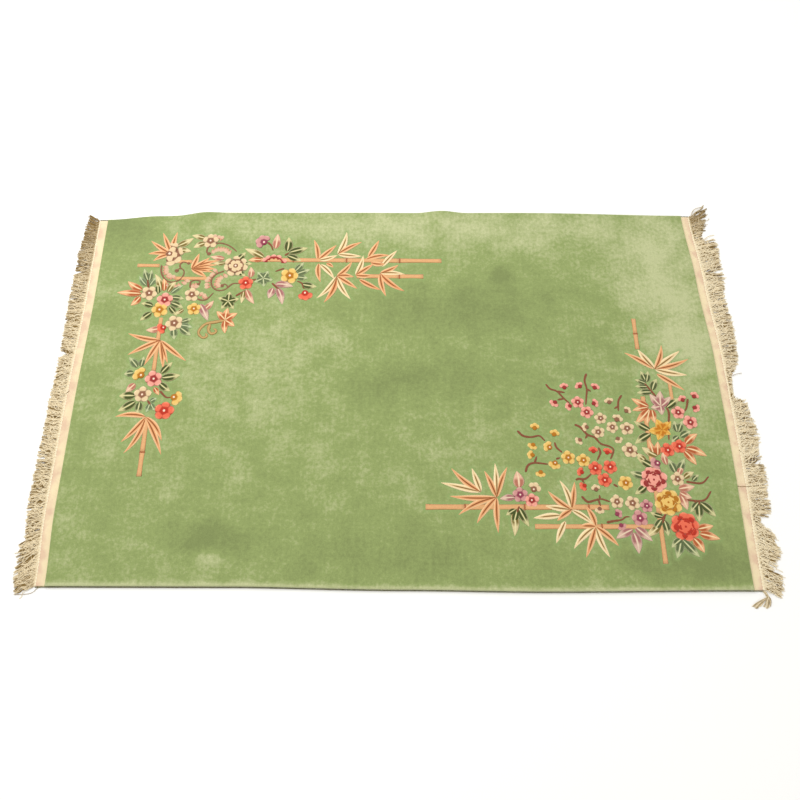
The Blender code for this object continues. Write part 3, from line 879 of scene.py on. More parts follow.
def cut_wool(name, paint):
    """Cut wool pile: ends of yarn packed side by side, sheared and carved.

    It is matt with a faint sheen, speckled by the single tufts.
    """
    finish = {
        "Roughness": 0.95, "Specular IOR Level": 0.2, "Sheen Weight": 0.12, "Sheen Roughness": 0.6
    }
    return speckled(name, paint, TUFT_PITCH, 2.0, 0.90, 0.5, 0.8 * MM, finish)


def spun_yarn(name, paint):
    """Plied yarn: two thin threads twisted together, which is matt and breaks up the light."""
    finish = {"Roughness": 0.9, "Specular IOR Level": 0.3}
    return speckled(name, paint, PLY_PITCH, 3.0, 0.84, 0.6, 0.4 * MM, finish)


def ground_wool(pile):
    """The field's jade wool: mottled where the nap leans two ways and in patches of painted light and
    shade, cooler along the carving, and with a painted sheen that makes the pile's steep sides at its
    edges paler."""

    def paint(tree, place):
        # The nap attribute holds the patches, some of them painted light and shade, and the near edge's
        # painted highlight
        lean, carved = (
            add_node(tree, "ShaderNodeAttribute", attribute_name=value).outputs["Fac"]
            for value in ("nap", "carved")
        )
        for mottle in MOTTLES:
            scale = [1 / size for size in mottle.size]
            scaled = add_node(tree, "ShaderNodeMapping", {"Vector": place, "Scale": scale})
            grain = add_node(
                tree, "ShaderNodeTexNoise",
                {"Vector": scaled, "Scale": 1.0, "Detail": 3.0, "Roughness": mottle.roughness},
            )
            lean = add_node(
                tree, "ShaderNodeMath", {0: grain, 1: mottle.weight, 2: lean},
                operation="MULTIPLY_ADD",
            )
        light = add_node(tree, "ShaderNodeMapRange", {"Value": lean, 1: 0.68, 2: 1.70})
        mottled = add_node(
            tree, "ShaderNodeValToRGB", {"Fac": light},
            stops=((0.0, pile.ground_dark), (0.5, pile.ground), (1.0, pile.ground_light)),
        )
        cooled = add_node(tree, "ShaderNodeMath", {0: carved, 1: 0.75}, operation="MULTIPLY")
        greened = add_node(
            tree, "ShaderNodeMix", {0: cooled, 6: mottled, 7: opaque(pile.halo)}, data_type="RGBA"
        )
        # Painted sheen: steep faces, the pile's sides at its edges, mix toward the light nap colour
        facing = add_node(tree, "ShaderNodeNewGeometry").outputs["Normal"]
        upright = add_node(tree, "ShaderNodeSeparateXYZ", {"Vector": facing}).outputs["Z"]
        painted_edge_sheen = add_node(
            tree, "ShaderNodeMapRange", {"Value": upright, 1: 0.95, 2: 0.35, 3: 0.0, 4: 0.8}
        )
        return add_node(
            tree, "ShaderNodeMix",
            {0: painted_edge_sheen, 6: greened.outputs[2], 7: opaque(pile.ground_light)}, data_type="RGBA",
        ).outputs[2]

    return cut_wool("jade wool pile", paint)


def knotted_back():
    """The rug's back: each knot shows as a small bead of wool between cotton wefts."""

    def weave(tree, place):
        knots = add_node(
            tree, "ShaderNodeTexBrick",
            {"Vector": place, "Color1": opaque(linear("#8C9A66")), "Color2": opaque(linear("#A3AD7C")),
             "Mortar": opaque(linear("#CFC19A")), "Scale": 1.0, "Mortar Size": 0.16 * BACK_KNOT,
             "Brick Width": BACK_KNOT, "Row Height": 0.8 * BACK_KNOT},
            offset=0.0,
        )
        relief = add_node(
            tree, "ShaderNodeBump",
            {"Height": knots.outputs["Fac"], "Strength": 0.6, "Distance": 0.3 * MM}, invert=True,
        )
        return knots, relief

    return new_material("knotted back", weave, {"Roughness": 0.9})


def petal_wool(name, petal, rim, ring):
    """A blossom's yarns: a dark ring round the heart, the petal's colour, and a paler rim."""
    colours = ((0.34, ring), (0.48, petal), (0.74, petal), (0.92, rim), (1.0, rim))

    def paint(tree, place):
        run, side = (
            add_node(tree, "ShaderNodeAttribute", attribute_name=value).outputs["Fac"]
            for value in ("along", "across")
        )
        ramp = add_node(
            tree, "ShaderNodeValToRGB", {"Fac": run},
            stops=[(where, linear(colour)) for where, colour in colours],
        )
        edge = add_node(tree, "ShaderNodeMath", {0: side}, operation="ABSOLUTE")
        parting = add_node(
            tree, "ShaderNodeMapRange", {"Value": edge, 1: 0.6, 2: 1.0, 3: 0.0, 4: 0.4}
        )
        return add_node(
            tree, "ShaderNodeMix", {0: parting, 6: ramp, 7: opaque(linear(ring))},
            data_type="RGBA",
        ).outputs[2]

    return cut_wool(name, paint)


def leaf_wool(name, tips, marks, pales, mark_places, pale_places, mark_end):
    """A leaf's yarns: its blade, dark marks from the base on, and pale lines or edges.

    Each has several shades. The places say where the marks and the pale lines run, as shares of
    the leaf's half width, and the marks end at a share of its length.
    """

    def paint(tree, place):
        shade, run, side = (
            add_node(tree, "ShaderNodeAttribute", attribute_name=value).outputs["Fac"]
            for value in ("shade", "along", "across")
        )
        blade, mark, pale = (
            add_node(tree, "ShaderNodeValToRGB", {"Fac": shade}, stops=spread_out(shades))
            for shades in (tips, marks, pales)
        )
        off_centre = add_node(tree, "ShaderNodeMath", {0: side}, operation="ABSOLUTE")
        on_pale, on_mark = (
            add_node(
                tree, "ShaderNodeValToRGB", {"Fac": off_centre},
                stops=[(where, (amount,) * 3) for where, amount in places],
            )
            for places in (pale_places, mark_places)
        )
        inner = add_node(
            tree, "ShaderNodeMapRange",
            {"Value": run, 1: mark_end - 0.12, 2: mark_end + 0.06, 3: 1.0, 4: 0.0},
        )
        marked = add_node(tree, "ShaderNodeMath", {0: on_mark, 1: inner}, operation="MULTIPLY")
        lined = add_node(
            tree, "ShaderNodeMix", {0: on_pale, 6: blade, 7: pale}, data_type="RGBA"
        )
        return add_node(
            tree, "ShaderNodeMix", {0: marked, 6: lined.outputs[2], 7: mark}, data_type="RGBA"
        ).outputs[2]

    return cut_wool(name, paint)


def spread_out(shades):
    """Colour stops at even places."""
    return [(i / (len(shades) - 1), linear(shade)) for i, shade in enumerate(shades)]


def edged_wool(name, middle, edge):
    """A cane's, a twig's or an eye's yarns: one colour along its middle, and another at its edges."""

    def paint(tree, place):
        side = add_node(tree, "ShaderNodeAttribute", attribute_name="across").outputs["Fac"]
        off_centre = add_node(tree, "ShaderNodeMath", {0: side}, operation="ABSOLUTE")
        return add_node(
            tree, "ShaderNodeValToRGB", {"Fac": off_centre},
            stops=((0.35, linear(middle)), (0.95, linear(edge))),
        )

    return cut_wool(name, paint)


def set_values(mesh, name, values):
    attribute = mesh.attributes.new(name, "FLOAT", "POINT")
    attribute.data.foreach_set("value", np.asarray(values, dtype=float))


def ribbon(centres, half_widths, rise, share_of):
    """A raised closed ribbon of pile along a path, domed across and eased at both ends.

    Returns its points and faces, with the share along and across it at every point.
    """
    centres = np.asarray(centres, dtype=float)
    headings = np.gradient(centres, axis=0)
    headings /= np.linalg.norm(headings, axis=1)[:, None]
    sideways = np.stack([-headings[:, 1], headings[:, 0]], axis=1)
    points, along, across = [], [], []
    for centre, side, half_width, share in zip(centres, sideways, half_widths, share_of):
        crown = math.sin(math.pi * min(max(share, 0.0), 1.0)) ** 0.4
        for place, height in zip(ACROSS_PLACES, ACROSS_CROWN):
            x, y = centre + side * half_width * place
            points.append((x, y, -MOTIF_SINK + (rise + MOTIF_SINK) * height * crown))
            along.append(share)
            across.append(place)
    wide = len(ACROSS_PLACES)
    faces = []
    for row in range(len(centres) - 1):
        a, b = row * wide, (row + 1) * wide
        faces += [(a + i + 1, a + i, b + i, b + i + 1) for i in range(wide - 1)]
        faces.append((a, a + wide - 1, b + wide - 1, b))
    last = (len(centres) - 1) * wide
    faces.append(tuple(range(wide)))
    faces.append(tuple(last + wide - 1 - i for i in range(wide)))
    return points, faces, along, across


def mesh_of_ribbons(name, ribbons):
    """Several ribbons as one mesh."""
    points, faces, along, across = [], [], [], []
    for some_points, some_faces, some_along, some_across in ribbons:
        first = len(points)
        points += some_points
        faces += [tuple(first + index for index in face) for face in some_faces]
        along += some_along
        across += some_across
    mesh = bpy.data.meshes.new(name)
    mesh.from_pydata(points, [], faces)
    work = bmesh.new()
    work.from_mesh(mesh)
    bmesh.ops.recalc_face_normals(work, faces=work.faces[:])
    work.to_mesh(mesh)
    work.free()
    set_values(mesh, "along", along)
    set_values(mesh, "across", across)
    return mesh


def petal_outline(share):
    """A petal's half width: narrow at the heart and round at the rim."""
    return max(math.sin(math.pi * share**1.55), 0.0) ** 0.62


def leaf_outline(share):
    """A bamboo leaf's half width: widest a third of the way out, and sharp at the tip."""
    return max(math.sin(math.pi * share**0.72), 0.0) ** 0.85


def bead_outline(share):
    """A round spot's half width."""
    return math.sqrt(max(1.0 - (2.0 * share - 1.0) ** 2, 0.0))


def unit_pad(name, outline, steps, rise, share=None):
    """A motif one metre long and two wide, along X, which every place scales to its size.

    A share gives it one colour all over, that of a petal at this share of its length.
    """
    runs = [min(max(i / steps, 0.012), 0.988) for i in range(steps + 1)]
    centres, half_widths = [(run, 0.0) for run in runs], [outline(run) for run in runs]
    points, faces, run, across = ribbon(centres, half_widths, rise, runs)
    along = run
    if share is not None:
        along, across = [share] * len(points), [0.0] * len(points)
    mesh = mesh_of_ribbons(name, [(points, faces, along, across)])
    set_values(mesh, "run", run)
    return bpy.data.objects.new(name, mesh)


BEAD, BLADE, DISC, HEART, PETAL = range(5)  # the motifs, in the order of their names


def motif_set(rise):
    """The five motifs of which the sprays are laid."""
    motifs = bpy.data.collections.new("motifs")
    collection_of_rug().children.link(motifs)
    for motif in (
        unit_pad("bead", bead_outline, 6, rise),
        unit_pad("blade", leaf_outline, 10, rise),
        unit_pad("disc", bead_outline, 8, rise, DISC_SHARE),
        unit_pad("heart", bead_outline, 6, rise, HEART_SHARE),
        unit_pad("petal", petal_outline, 7, rise),
    ):
        motifs.objects.link(motif)
        motif.hide_render = True
    return motifs


Pad = namedtuple(
    "Pad", "x y turn length width kind bend shade rise", defaults=(PETAL, 0.0, 0.0, 0.0)
)


def pads_tree():
    """Lays a copy of a motif on every point, turned, scaled and bent as the point says."""
    tree, given = new_tree("motifs on points", Motifs="Collection", Yarn="Material")
    own = {
        name: add_node(
            tree, "GeometryNodeInputNamedAttribute", {"Name": name}, data_type="FLOAT"
        ).outputs["Attribute"]
        for name in ("turn", "length", "width", "kind", "bend", "run")
    }
    motifs = add_node(
        tree, "GeometryNodeCollectionInfo",
        {"Collection": given["Motifs"], "Separate Children": True, "Reset Children": True},
    )
    turned = add_node(tree, "ShaderNodeCombineXYZ", {"Z": own["turn"]})
    sized = add_node(tree, "ShaderNodeCombineXYZ", {"X": own["length"], "Y": own["width"], "Z": 1.0})
    laid = add_node(
        tree, "GeometryNodeInstanceOnPoints",
        {"Points": given["Geometry"], "Instance": motifs, "Pick Instance": True,
         "Instance Index": own["kind"], "Rotation": turned, "Scale": sized},
    )
    real = add_node(tree, "GeometryNodeRealizeInstances", {"Geometry": laid})
    remaining = add_node(tree, "ShaderNodeMath", {0: 1.0, 1: own["run"]}, operation="SUBTRACT")
    bow = add_node(tree, "ShaderNodeMath", {0: own["run"], 1: remaining}, operation="MULTIPLY")
    shift = add_node(tree, "ShaderNodeMath", {0: bow, 1: own["bend"]}, operation="MULTIPLY")
    sine, cosine = (
        add_node(tree, "ShaderNodeMath", {0: own["turn"]}, operation=name)
        for name in ("SINE", "COSINE")
    )
    minus_sine = add_node(tree, "ShaderNodeMath", {0: sine, 1: -1.0}, operation="MULTIPLY")
    sideways = add_node(tree, "ShaderNodeCombineXYZ", {"X": minus_sine, "Y": cosine})
    offset = add_node(
        tree, "ShaderNodeVectorMath", {0: sideways, "Scale": shift}, operation="SCALE"
    )
    bent = add_node(tree, "GeometryNodeSetPosition", {"Geometry": real, "Offset": offset})
    return end_tree(tree, bent, given["Yarn"])


def rest_on_field(mesh):
    """Lifts motifs from the plan onto the pile's top, also where it ripples."""
    places = points_of(mesh)
    x, y, z = places.T
    move_points(mesh, np.stack([x, y, z + FIELD_THICKNESS + underside(x, y)], axis=1))


def lay_pads(name, pads, rise, yarn):
    """One piece of many motifs on the field, each standing out of it by the rise and its own."""
    base = bpy.data.meshes.new(name)
    base.from_pydata([(pad.x, pad.y, pad.rise) for pad in pads], [], [])
    for column in ("turn", "length", "width", "kind", "bend", "shade"):
        set_values(base, column, [getattr(pad, column) for pad in pads])
    motifs = motif_set(rise)
    mesh = grown(base, pads_tree(), {"Motifs": motifs, "Yarn": yarn})
    for motif in motifs.objects[:]:
        bpy.data.objects.remove(motif)
    bpy.data.collections.remove(motifs)
    rest_on_field(mesh)
    add_piece(name, mesh)


def petals_of(blossom, chance):
    """The pads of a blossom's petals, all round its heart or fanned to one side."""
    radius = blossom.radius * BLOOM_FULLNESS * CM
    step, first = OPEN_STEP, blossom.turn
    if blossom.petals < FULL_PETALS:
        step, first = FAN_STEP, blossom.turn - FAN_STEP * (blossom.petals - 1) / 2
    for i in range(blossom.petals):
        turn = math.radians(first + step * i + chance.uniform(-5.0, 5.0))
        length = radius * chance.uniform(0.92, 1.04)
        yield Pad(blossom.x * CM, blossom.y * CM, turn, length, radius * PETAL_BREADTH)


def petals_round(flower, row, chance, kind=PETAL):
    """The pads of one round of a peony's or a rosette's petals."""
    radius = flower.radius * CM
    count = row.petals
    step = 360.0 / count
    first = flower.turn + step / 2 * (row.rise > 0.0)
    if flower.spread < 360.0:
        count = max(3, round(count * flower.spread / 360.0) + 1)
        step = flower.spread / (count - 1)
        first = flower.turn - flower.spread / 2
    for i in range(count):
        turn = math.radians(first + step * i + chance.uniform(-6.0, 6.0))
        x = flower.x * CM + math.cos(turn) * radius * row.start
        y = flower.y * CM + math.sin(turn) * radius * row.start
        length = radius * (row.end - row.start) * chance.uniform(0.94, 1.06)
        yield Pad(x, y, turn, length, radius * row.breadth, kind, rise=row.rise)


def folds_of_peony(peony, chance):
    """The pads of a peony's dark folds, which lie across the way out from its middle."""
    radius = peony.radius * CM
    for fold in PEONY_FOLDS:
        for i in range(fold.count):
            turn = math.radians(
                peony.turn + 360.0 * (i + 0.5) / fold.count + chance.uniform(-8.0, 8.0)
            )
            along = turn + math.pi / 2
            long = radius * fold.length * chance.uniform(0.85, 1.15)
            x = peony.x * CM + math.cos(turn) * radius * fold.reach - math.cos(along) * long / 2
            y = peony.y * CM + math.sin(turn) * radius * fold.reach - math.sin(along) * long / 2
            wide = radius * fold.breadth * chance.uniform(0.85, 1.2)
            yield Pad(x, y, along, long, wide, HEART, -fold.bend * long, rise=FOLD_RISE)


def lobe_pads(chance):
    """The pads of the pale petals that fill the cloud scrolls, pointing away from their path."""
    for row in LOBE_ROWS:
        path = [Vector(point) for point in smooth_path(row.path, LOBE_STEP)]
        for before, point in zip(path, path[1:]):
            run = point - before
            turn = math.atan2(run.y, run.x) + row.side * math.radians(chance.uniform(75.0, 105.0))
            length = chance.uniform(2.4, 3.2) * CM
            yield Pad(before.x, before.y, turn, length, LOBE_WIDTH, rise=LOBE_RISE)


def spot(x, y, radius, kind=BEAD, rise=0.0):
    """A round pad centred on a place. The place and the radius are in centimetres."""
    return Pad((x - radius) * CM, y * CM, 0.0, 2 * radius * CM, radius * CM, kind, rise=rise)


def smooth_path(points, step):
    """Places in metres, about a step apart, on a smooth curve through points in centimetres."""
    points = [Vector(point).to_2d() * CM for point in points]
    ends = [points[0] * 2 - points[1], *points, points[-1] * 2 - points[-2]]
    fine = []
    for before, start, end, after in zip(ends, ends[1:], ends[2:], ends[3:]):
        count = max(2, round((end - start).length / step))
        for i in range(count):
            t = i / count
            fine.append(
                0.5 * (2 * start + (end - before) * t
                       + (2 * before - 5 * start + 4 * end - after) * t * t
                       + (3 * start - before - 3 * end + after) * t**3)
            )
    return [tuple(point) for point in (*fine, points[-1])]


def twig(points, width, rise, chance):
    """A branch as a ribbon, a little uneven in width and thinner towards its end."""
    path = smooth_path(points, TWIG_STEP)
    shares = [i / (len(path) - 1) for i in range(len(path))]
    half_widths = [
        width * CM / 2 * (1.0 - TWIG_TAPER * share) * chance.uniform(0.9, 1.15) for share in shares
    ]
    half_widths[0] *= 0.6
    half_widths[-1] *= 0.5
    return ribbon(path, half_widths, rise, [0.03 + 0.94 * share for share in shares])


def cane_stretches(cane, rise):
    """A cane as its lengths between two nodes, each a little narrower in its middle."""
    start, end = Vector((cane.x, cane.y)) * CM, Vector((cane.end_x, cane.end_y)) * CM
    cuts = (0.0, *cane.nodes, 1.0)
    gap = CANE_GAP / (end - start).length
    stretches = []
    for low, high in zip(cuts, cuts[1:]):
        first = start.lerp(end, low + (gap if low > 0.0 else 0.0))
        last = start.lerp(end, high - (gap if high < 1.0 else 0.0))
        count = max(3, round((last - first).length / CANE_STEP))
        shares = [i / count for i in range(count + 1)]
        path = [tuple(first.lerp(last, share)) for share in shares]
        widths = [cane.width * CM / 2 * (1.0 - CANE_WAIST * math.sin(math.pi * s)) for s in shares]
        stretches.append(ribbon(path, widths, rise, [0.06 + 0.88 * share for share in shares]))
    return stretches


def cane_rings(cane):
    """The pads of a cane's nodes, one thin ring across it at each."""
    start, end = Vector((cane.x, cane.y)) * CM, Vector((cane.end_x, cane.end_y)) * CM
    turn = math.atan2(end.y - start.y, end.x - start.x) + math.pi / 2
    half = cane.width * CM * NODE_REACH
    for share in cane.nodes:
        middle = start.lerp(end, share)
        x, y = middle.x - math.cos(turn) * half, middle.y - math.sin(turn) * half
        yield Pad(x, y, turn, 2 * half, NODE_WIDTH, BEAD)


class RUG_OT_blossoms(bpy.types.Operator):
    """Lays the plum blossoms, peonies and rosettes, with their hearts"""

    bl_idname = "rug.blossoms"
    bl_label = "Blossoms"

    def execute(self, context):
        chance = random.Random(SEED)
        rise = context.scene.rug_pile.rise * 1.5
        yarns = (
            ("pink", "#E99D8A", "#EEB7A2", "#96302C", PINK_BLOSSOMS, PINK_PEONIES),
            ("coral", "#E26A4D", "#EA8C68", "#B4301C", CORAL_BLOSSOMS, CORAL_PEONIES),
            ("yellow", "#E3BC68", "#E9CB86", "#B07018", YELLOW_BLOSSOMS, YELLOW_PEONIES),
            ("cream", "#DDC398", "#E4D0A6", "#8A5E44", CREAM_BLOSSOMS, ()),
            ("mauve", "#C88F88", "#D6A79A", "#8C3A4E", MAUVE_BLOSSOMS, ()),
        )
        for name, colour, rim, ring, blossoms, peonies in yarns:
            pads = [pad for blossom in blossoms for pad in petals_of(blossom, chance)]
            for item in blossoms:
                share = SIDE_HEART if item.petals < FULL_PETALS else OPEN_HEART
                pads.append(spot(item.x, item.y, item.radius * share, HEART, HEART_RISE))
            for item in peonies:
                pads += [pad for row in PEONY_ROUNDS for pad in petals_round(item, row, chance)]
                pads.append(spot(item.x, item.y, item.radius * PEONY_DISC, DISC, DISC_RISE))
                pads.append(spot(item.x, item.y, item.radius * PEONY_HEART, HEART, MIDDLE_RISE))
                pads += folds_of_peony(item, chance)
            if name == "pink":
                for item in PINK_ARCHES:
                    pads += [pad for row in ARCH_ROUNDS for pad in petals_round(item, row, chance)]
            if name == "cream":
                for item in ROSETTES:
                    for row, kind in zip(ROSETTE_ROUNDS, (PETAL, HEART, DISC)):
                        pads += petals_round(item, row, chance, kind)
                    radius = item.radius * ROSETTE_HEART
                    pads.append(spot(item.x, item.y, radius, HEART, MIDDLE_RISE))
            lay_pads(
                f"petals_{name}", pads, rise, petal_wool(f"{name} petal wool", colour, rim, ring)
            )
        open_wide = [item for row in yarns for item in row[4] if item.radius > EYE_FROM]
        eyes = [
            spot(item.x, item.y, item.radius * share, rise=height)
            for items, share, height in (
                (open_wide, OPEN_EYE, EYE_RISE), (ROSETTES, ROSETTE_EYE, TOP_RISE)
            )
            for item in items
        ]
        lay_pads("blossom_eyes", eyes, rise, edged_wool("eye wool", "#F0D8C0", "#DDAE92"))
        cloud = petal_wool("cloud lobe wool", "#D5AE90", "#C9BE90", "#CC9276")
        lay_pads("cloud_lobes", list(lobe_pads(chance)), rise, cloud)
        return {"FINISHED"}


def leaf_pads(leaves, bend, fullness, chance):
    """The pads of some leaves, each bent a little to one side."""
    for leaf in leaves:
        length = math.hypot(leaf.tip_x - leaf.x, leaf.tip_y - leaf.y) * CM
        turn = math.atan2(leaf.tip_y - leaf.y, leaf.tip_x - leaf.x)
        bow = length * chance.uniform(-bend, bend)
        half = leaf.width * fullness * CM / 2
        yield Pad(leaf.x * CM, leaf.y * CM, turn, length, half, BLADE, bow, leaf.shade)


def star_pads(star, chance):
    """The pads of a dark leaf's five lobes."""
    for i in range(5):
        turn = math.radians(star.turn + 72.0 * i + chance.uniform(-4.0, 4.0))
        x, y = star.x * CM, star.y * CM
        yield Pad(x, y, turn, star.reach * CM, STAR_WIDTH, BLADE, 0.0, star.shade)


class RUG_OT_leaves(bpy.types.Operator):
    """Lays the bamboo leaves, broad leaves and dark leaves"""

    bl_idname = "rug.leaves"
    bl_label = "Leaves"

    def execute(self, context):
        chance = random.Random(SEED + 1)
        rise = context.scene.rug_pile.rise * 1.2
        midrib = ((0.10, 1.0), (0.22, 0.0))
        bamboo = leaf_wool(
            "bamboo leaf wool", ("#DC9662", "#E2AA76", "#E8CC9A"), ("#8C4A20", "#885024", "#84602C"),
            ("#E6B888", "#EFCE9E", "#F2DEB2"), ((0.10, 1.0), (0.30, 0.0)),
            ((0.40, 0.0), (0.66, 1.0)), 0.74,
        )
        pads = leaf_pads(BAMBOO_LEAVES, 0.35, BAMBOO_FULLNESS, chance)
        lay_pads("bamboo_leaves", list(pads), rise, bamboo)
        broad = leaf_wool(
            "broad leaf wool", ("#E3AA7A", "#D2C290", "#DDB294", "#D0AE9A", "#E4B95E"),
            ("#AC5A30", "#77662F", "#B0705A", "#A26A66", "#BC7214"),
            ("#EAD0A0", "#E0D2A0", "#E8CCA8", "#E0C8AC", "#D89A34"),
            ((0.10, 0.0), (0.24, 1.0), (0.66, 1.0), (0.86, 0.0)), midrib, 0.56,
        )
        pads = leaf_pads(BROAD_LEAVES, 0.25, BROAD_FULLNESS, chance)
        lay_pads("broad_leaves", list(pads), rise, broad)
        dark = leaf_wool(
            "dark leaf wool", ("#C6BE88", "#A9B78A"), ("#424C1E", "#66744F"), ("#D2CB94", "#C0C69A"),
            ((0.10, 0.0), (0.22, 1.0), (0.70, 1.0), (0.90, 0.0)), midrib, 0.70,
        )
        pads = list(leaf_pads(DARK_LEAVES, 0.2, DARK_FULLNESS, chance))
        pads += [pad for star in LEAF_STARS for pad in star_pads(star, chance)]
        lay_pads("dark_leaves", pads, rise, dark)
        return {"FINISHED"}


class RUG_OT_canes(bpy.types.Operator):
    """Lays the bamboo canes and their nodes"""

    bl_idname = "rug.canes"
    bl_label = "Canes"

    def execute(self, context):
        rise = context.scene.rug_pile.rise * 0.6
        mesh = mesh_of_ribbons("canes", [r for cane in CANES for r in cane_stretches(cane, rise)])
        mesh.materials.append(edged_wool("cane wool", "#D8A572", "#CB9260"))
        rest_on_field(mesh)
        add_piece("canes", mesh)
        rings = [pad for cane in CANES for pad in cane_rings(cane)]
        lay_pads("cane_nodes", rings, rise * 1.3, edged_wool("node wool", "#9E5430", "#BC7446"))
        return {"FINISHED"}


class RUG_OT_twigs(bpy.types.Operator):
    """Lays the plum twigs, the cloud scrolls with their ends, and the fold of the pink arch"""

    bl_idname = "rug.twigs"
    bl_label = "Twigs"

    def execute(self, context):
        rise = context.scene.rug_pile.rise
        chance = random.Random(SEED + 2)
        for name, paths, width, height, middle, edge in (
            ("twigs", TWIGS, TWIG_WIDTH, 0.9, "#80482E", "#96664A"),
            ("scrolls", SCROLLS, SCROLL_WIDTH, 1.1, "#84583E", "#9C775C"),
            ("tendrils", TENDRILS, TENDRIL_WIDTH, 0.9, "#BC9A62", "#8C6232"),
            ("folds", FOLDS, FOLD_WIDTH, 1.8, "#98342C", "#B04C3E"),
        ):
            ribbons = [twig(points, width, rise * height, chance) for points in paths]
            mesh = mesh_of_ribbons(name, ribbons)
            mesh.materials.append(edged_wool(f"{name} wool", middle, edge))
            rest_on_field(mesh)
            add_piece(name, mesh)
        knobs = [spot(knob.x, knob.y, knob.radius) for knob in SCROLL_KNOBS]
        lay_pads("scroll_knobs", knobs, rise * 1.2, edged_wool("knob wool", "#84583E", "#9C775C"))
        return {"FINISHED"}


def even_slab(x_places, y_places, thickness):
    """A slab on the floor, its top and underside divided at the given places along X and Y."""
    columns, rows = len(x_places) - 1, len(y_places) - 1
    work = bmesh.new()
    bmesh.ops.create_grid(work, x_segments=columns, y_segments=rows, size=0.5)
    for vertex in work.verts:
        vertex.co.x = x_places[round((vertex.co.x + 0.5) * columns)]
        vertex.co.y = y_places[round((vertex.co.y + 0.5) * rows)]
    raised = bmesh.ops.extrude_face_region(work, geom=work.faces[:], use_keep_orig=True)
    for vertex in (item for item in raised["geom"] if isinstance(item, bmesh.types.BMVert)):
        vertex.co.z += thickness
    bmesh.ops.recalc_face_normals(work, faces=work.faces[:])
    return work


def put_in_order(elements, rank):
    """Sorts the corners, edges or faces of a slab, because Blender may order them anew at each run."""
    for i, item in enumerate(sorted(elements, key=rank)):
        item.index = i
    elements.sort()


def mesh_of_slab(work, name):
    """The slab's mesh, its points while it is still a true rectangle, and where they lie."""
    put_in_order(work.verts, lambda vertex: tuple(vertex.co))
    put_in_order(work.edges, lambda edge: sorted(v.index for v in edge.verts))
    put_in_order(work.faces, lambda face: sorted(v.index for v in face.verts))
    mesh = bpy.data.meshes.new(name)
    work.to_mesh(mesh)
    work.free()
    flat = points_of(mesh)
    return mesh, flat, lie(flat)


def humps(places, size):
    """A smooth random rise and fall, from -1 to 1, in humps of the given size."""
    return np.array([noise.noise(Vector((x, y, 0.0)) / size) for x, y, _ in places])


def carved_share(places, reach):
    """How deep in the carving each place of the field lies, from the motifs around it."""
    motifs = [item for item in collection_of_rug().objects if item.type == "MESH"]
    tree = kdtree.KDTree(sum(len(item.data.vertices) for item in motifs))
    for item in motifs:
        for vertex in item.data.vertices:
            tree.insert((vertex.co.x, vertex.co.y, 0.0), 0)
    tree.balance()
    shares = np.zeros(len(places))
    for i, (x, y, _) in enumerate(places):
        distance = tree.find((x, y, 0.0))[2]
        if distance < reach:
            shares[i] = 1.0 - distance / reach
    return shares


def patch_shade(places):
    """How much lighter or darker the patches, some of them painted light and shade, make each place."""
    x, y, _ = places.T
    shade = np.zeros(len(places))
    for patch in NAP_AND_PAINTED_LIGHT_PATCHES:
        across = ((x - patch.x) / patch.reach_x) ** 2 + ((y - patch.y) / patch.reach_y) ** 2
        shade += patch.shade * np.exp(-across)
    return shade


class RUG_OT_pile(bpy.types.Operator):
    """Knots the field and carves it round the motifs"""

    bl_idname = "rug.pile"
    bl_label = "Pile field"

    def execute(self, context):
        pile = context.scene.rug_pile
        columns, rows = round(FIELD_LENGTH / pile.cell), round(FIELD_WIDTH / pile.cell)
        work = even_slab(
            np.linspace(-FIELD_LENGTH / 2, FIELD_LENGTH / 2, columns + 1),
            np.linspace(-FIELD_WIDTH / 2, FIELD_WIDTH / 2, rows + 1),
            FIELD_THICKNESS,
        )
        top = [face for face in work.faces if face.normal.z > 0.5]
        edges = list(dict.fromkeys(edge for face in top for edge in face.edges))
        bmesh.ops.subdivide_edges(work, edges=edges, cuts=3, use_grid_fill=True)
        rim = [
            edge for edge in work.edges
            if all(v.co.z > FIELD_THICKNESS / 2 for v in edge.verts)
            and abs(edge.calc_face_angle(0.0)) > math.radians(45.0)
        ]
        bmesh.ops.bevel(
            work, geom=rim, offset=PILE_EDGE_RADIUS, segments=3, profile=0.5, affect="EDGES"
        )
        bmesh.ops.triangulate(work, faces=[face for face in work.faces if len(face.verts) > 4])
        for face in work.faces:
            face.material_index = 1 if face.normal.z < -0.5 else 0
        mesh, flat, laid = mesh_of_slab(work, "pile")
        is_top = flat[:, 2] > FIELD_THICKNESS * 0.9
        carved = carved_share(laid, pile.groove_reach)
        uneven = humps(laid, HUMP_SIZE) * pile.unevenness
        laid[:, 2] += is_top * (uneven - carved * pile.groove)
        move_points(mesh, laid)
        # painted highlight along the near long edge, added to the patches of the nap
        from_near_edge = flat[:, 1] + FIELD_WIDTH / 2
        edge_highlight = NEAR_EDGE_HIGHLIGHT * np.exp(-((from_near_edge / NEAR_EDGE_REACH) ** 2))
        set_values(mesh, "nap", patch_shade(laid) + edge_highlight)
        set_values(mesh, "carved", carved * is_top)
        mesh.materials.append(ground_wool(pile))
        mesh.materials.append(knotted_back())
        add_piece("pile", mesh, "pile_field")
        return {"FINISHED"}


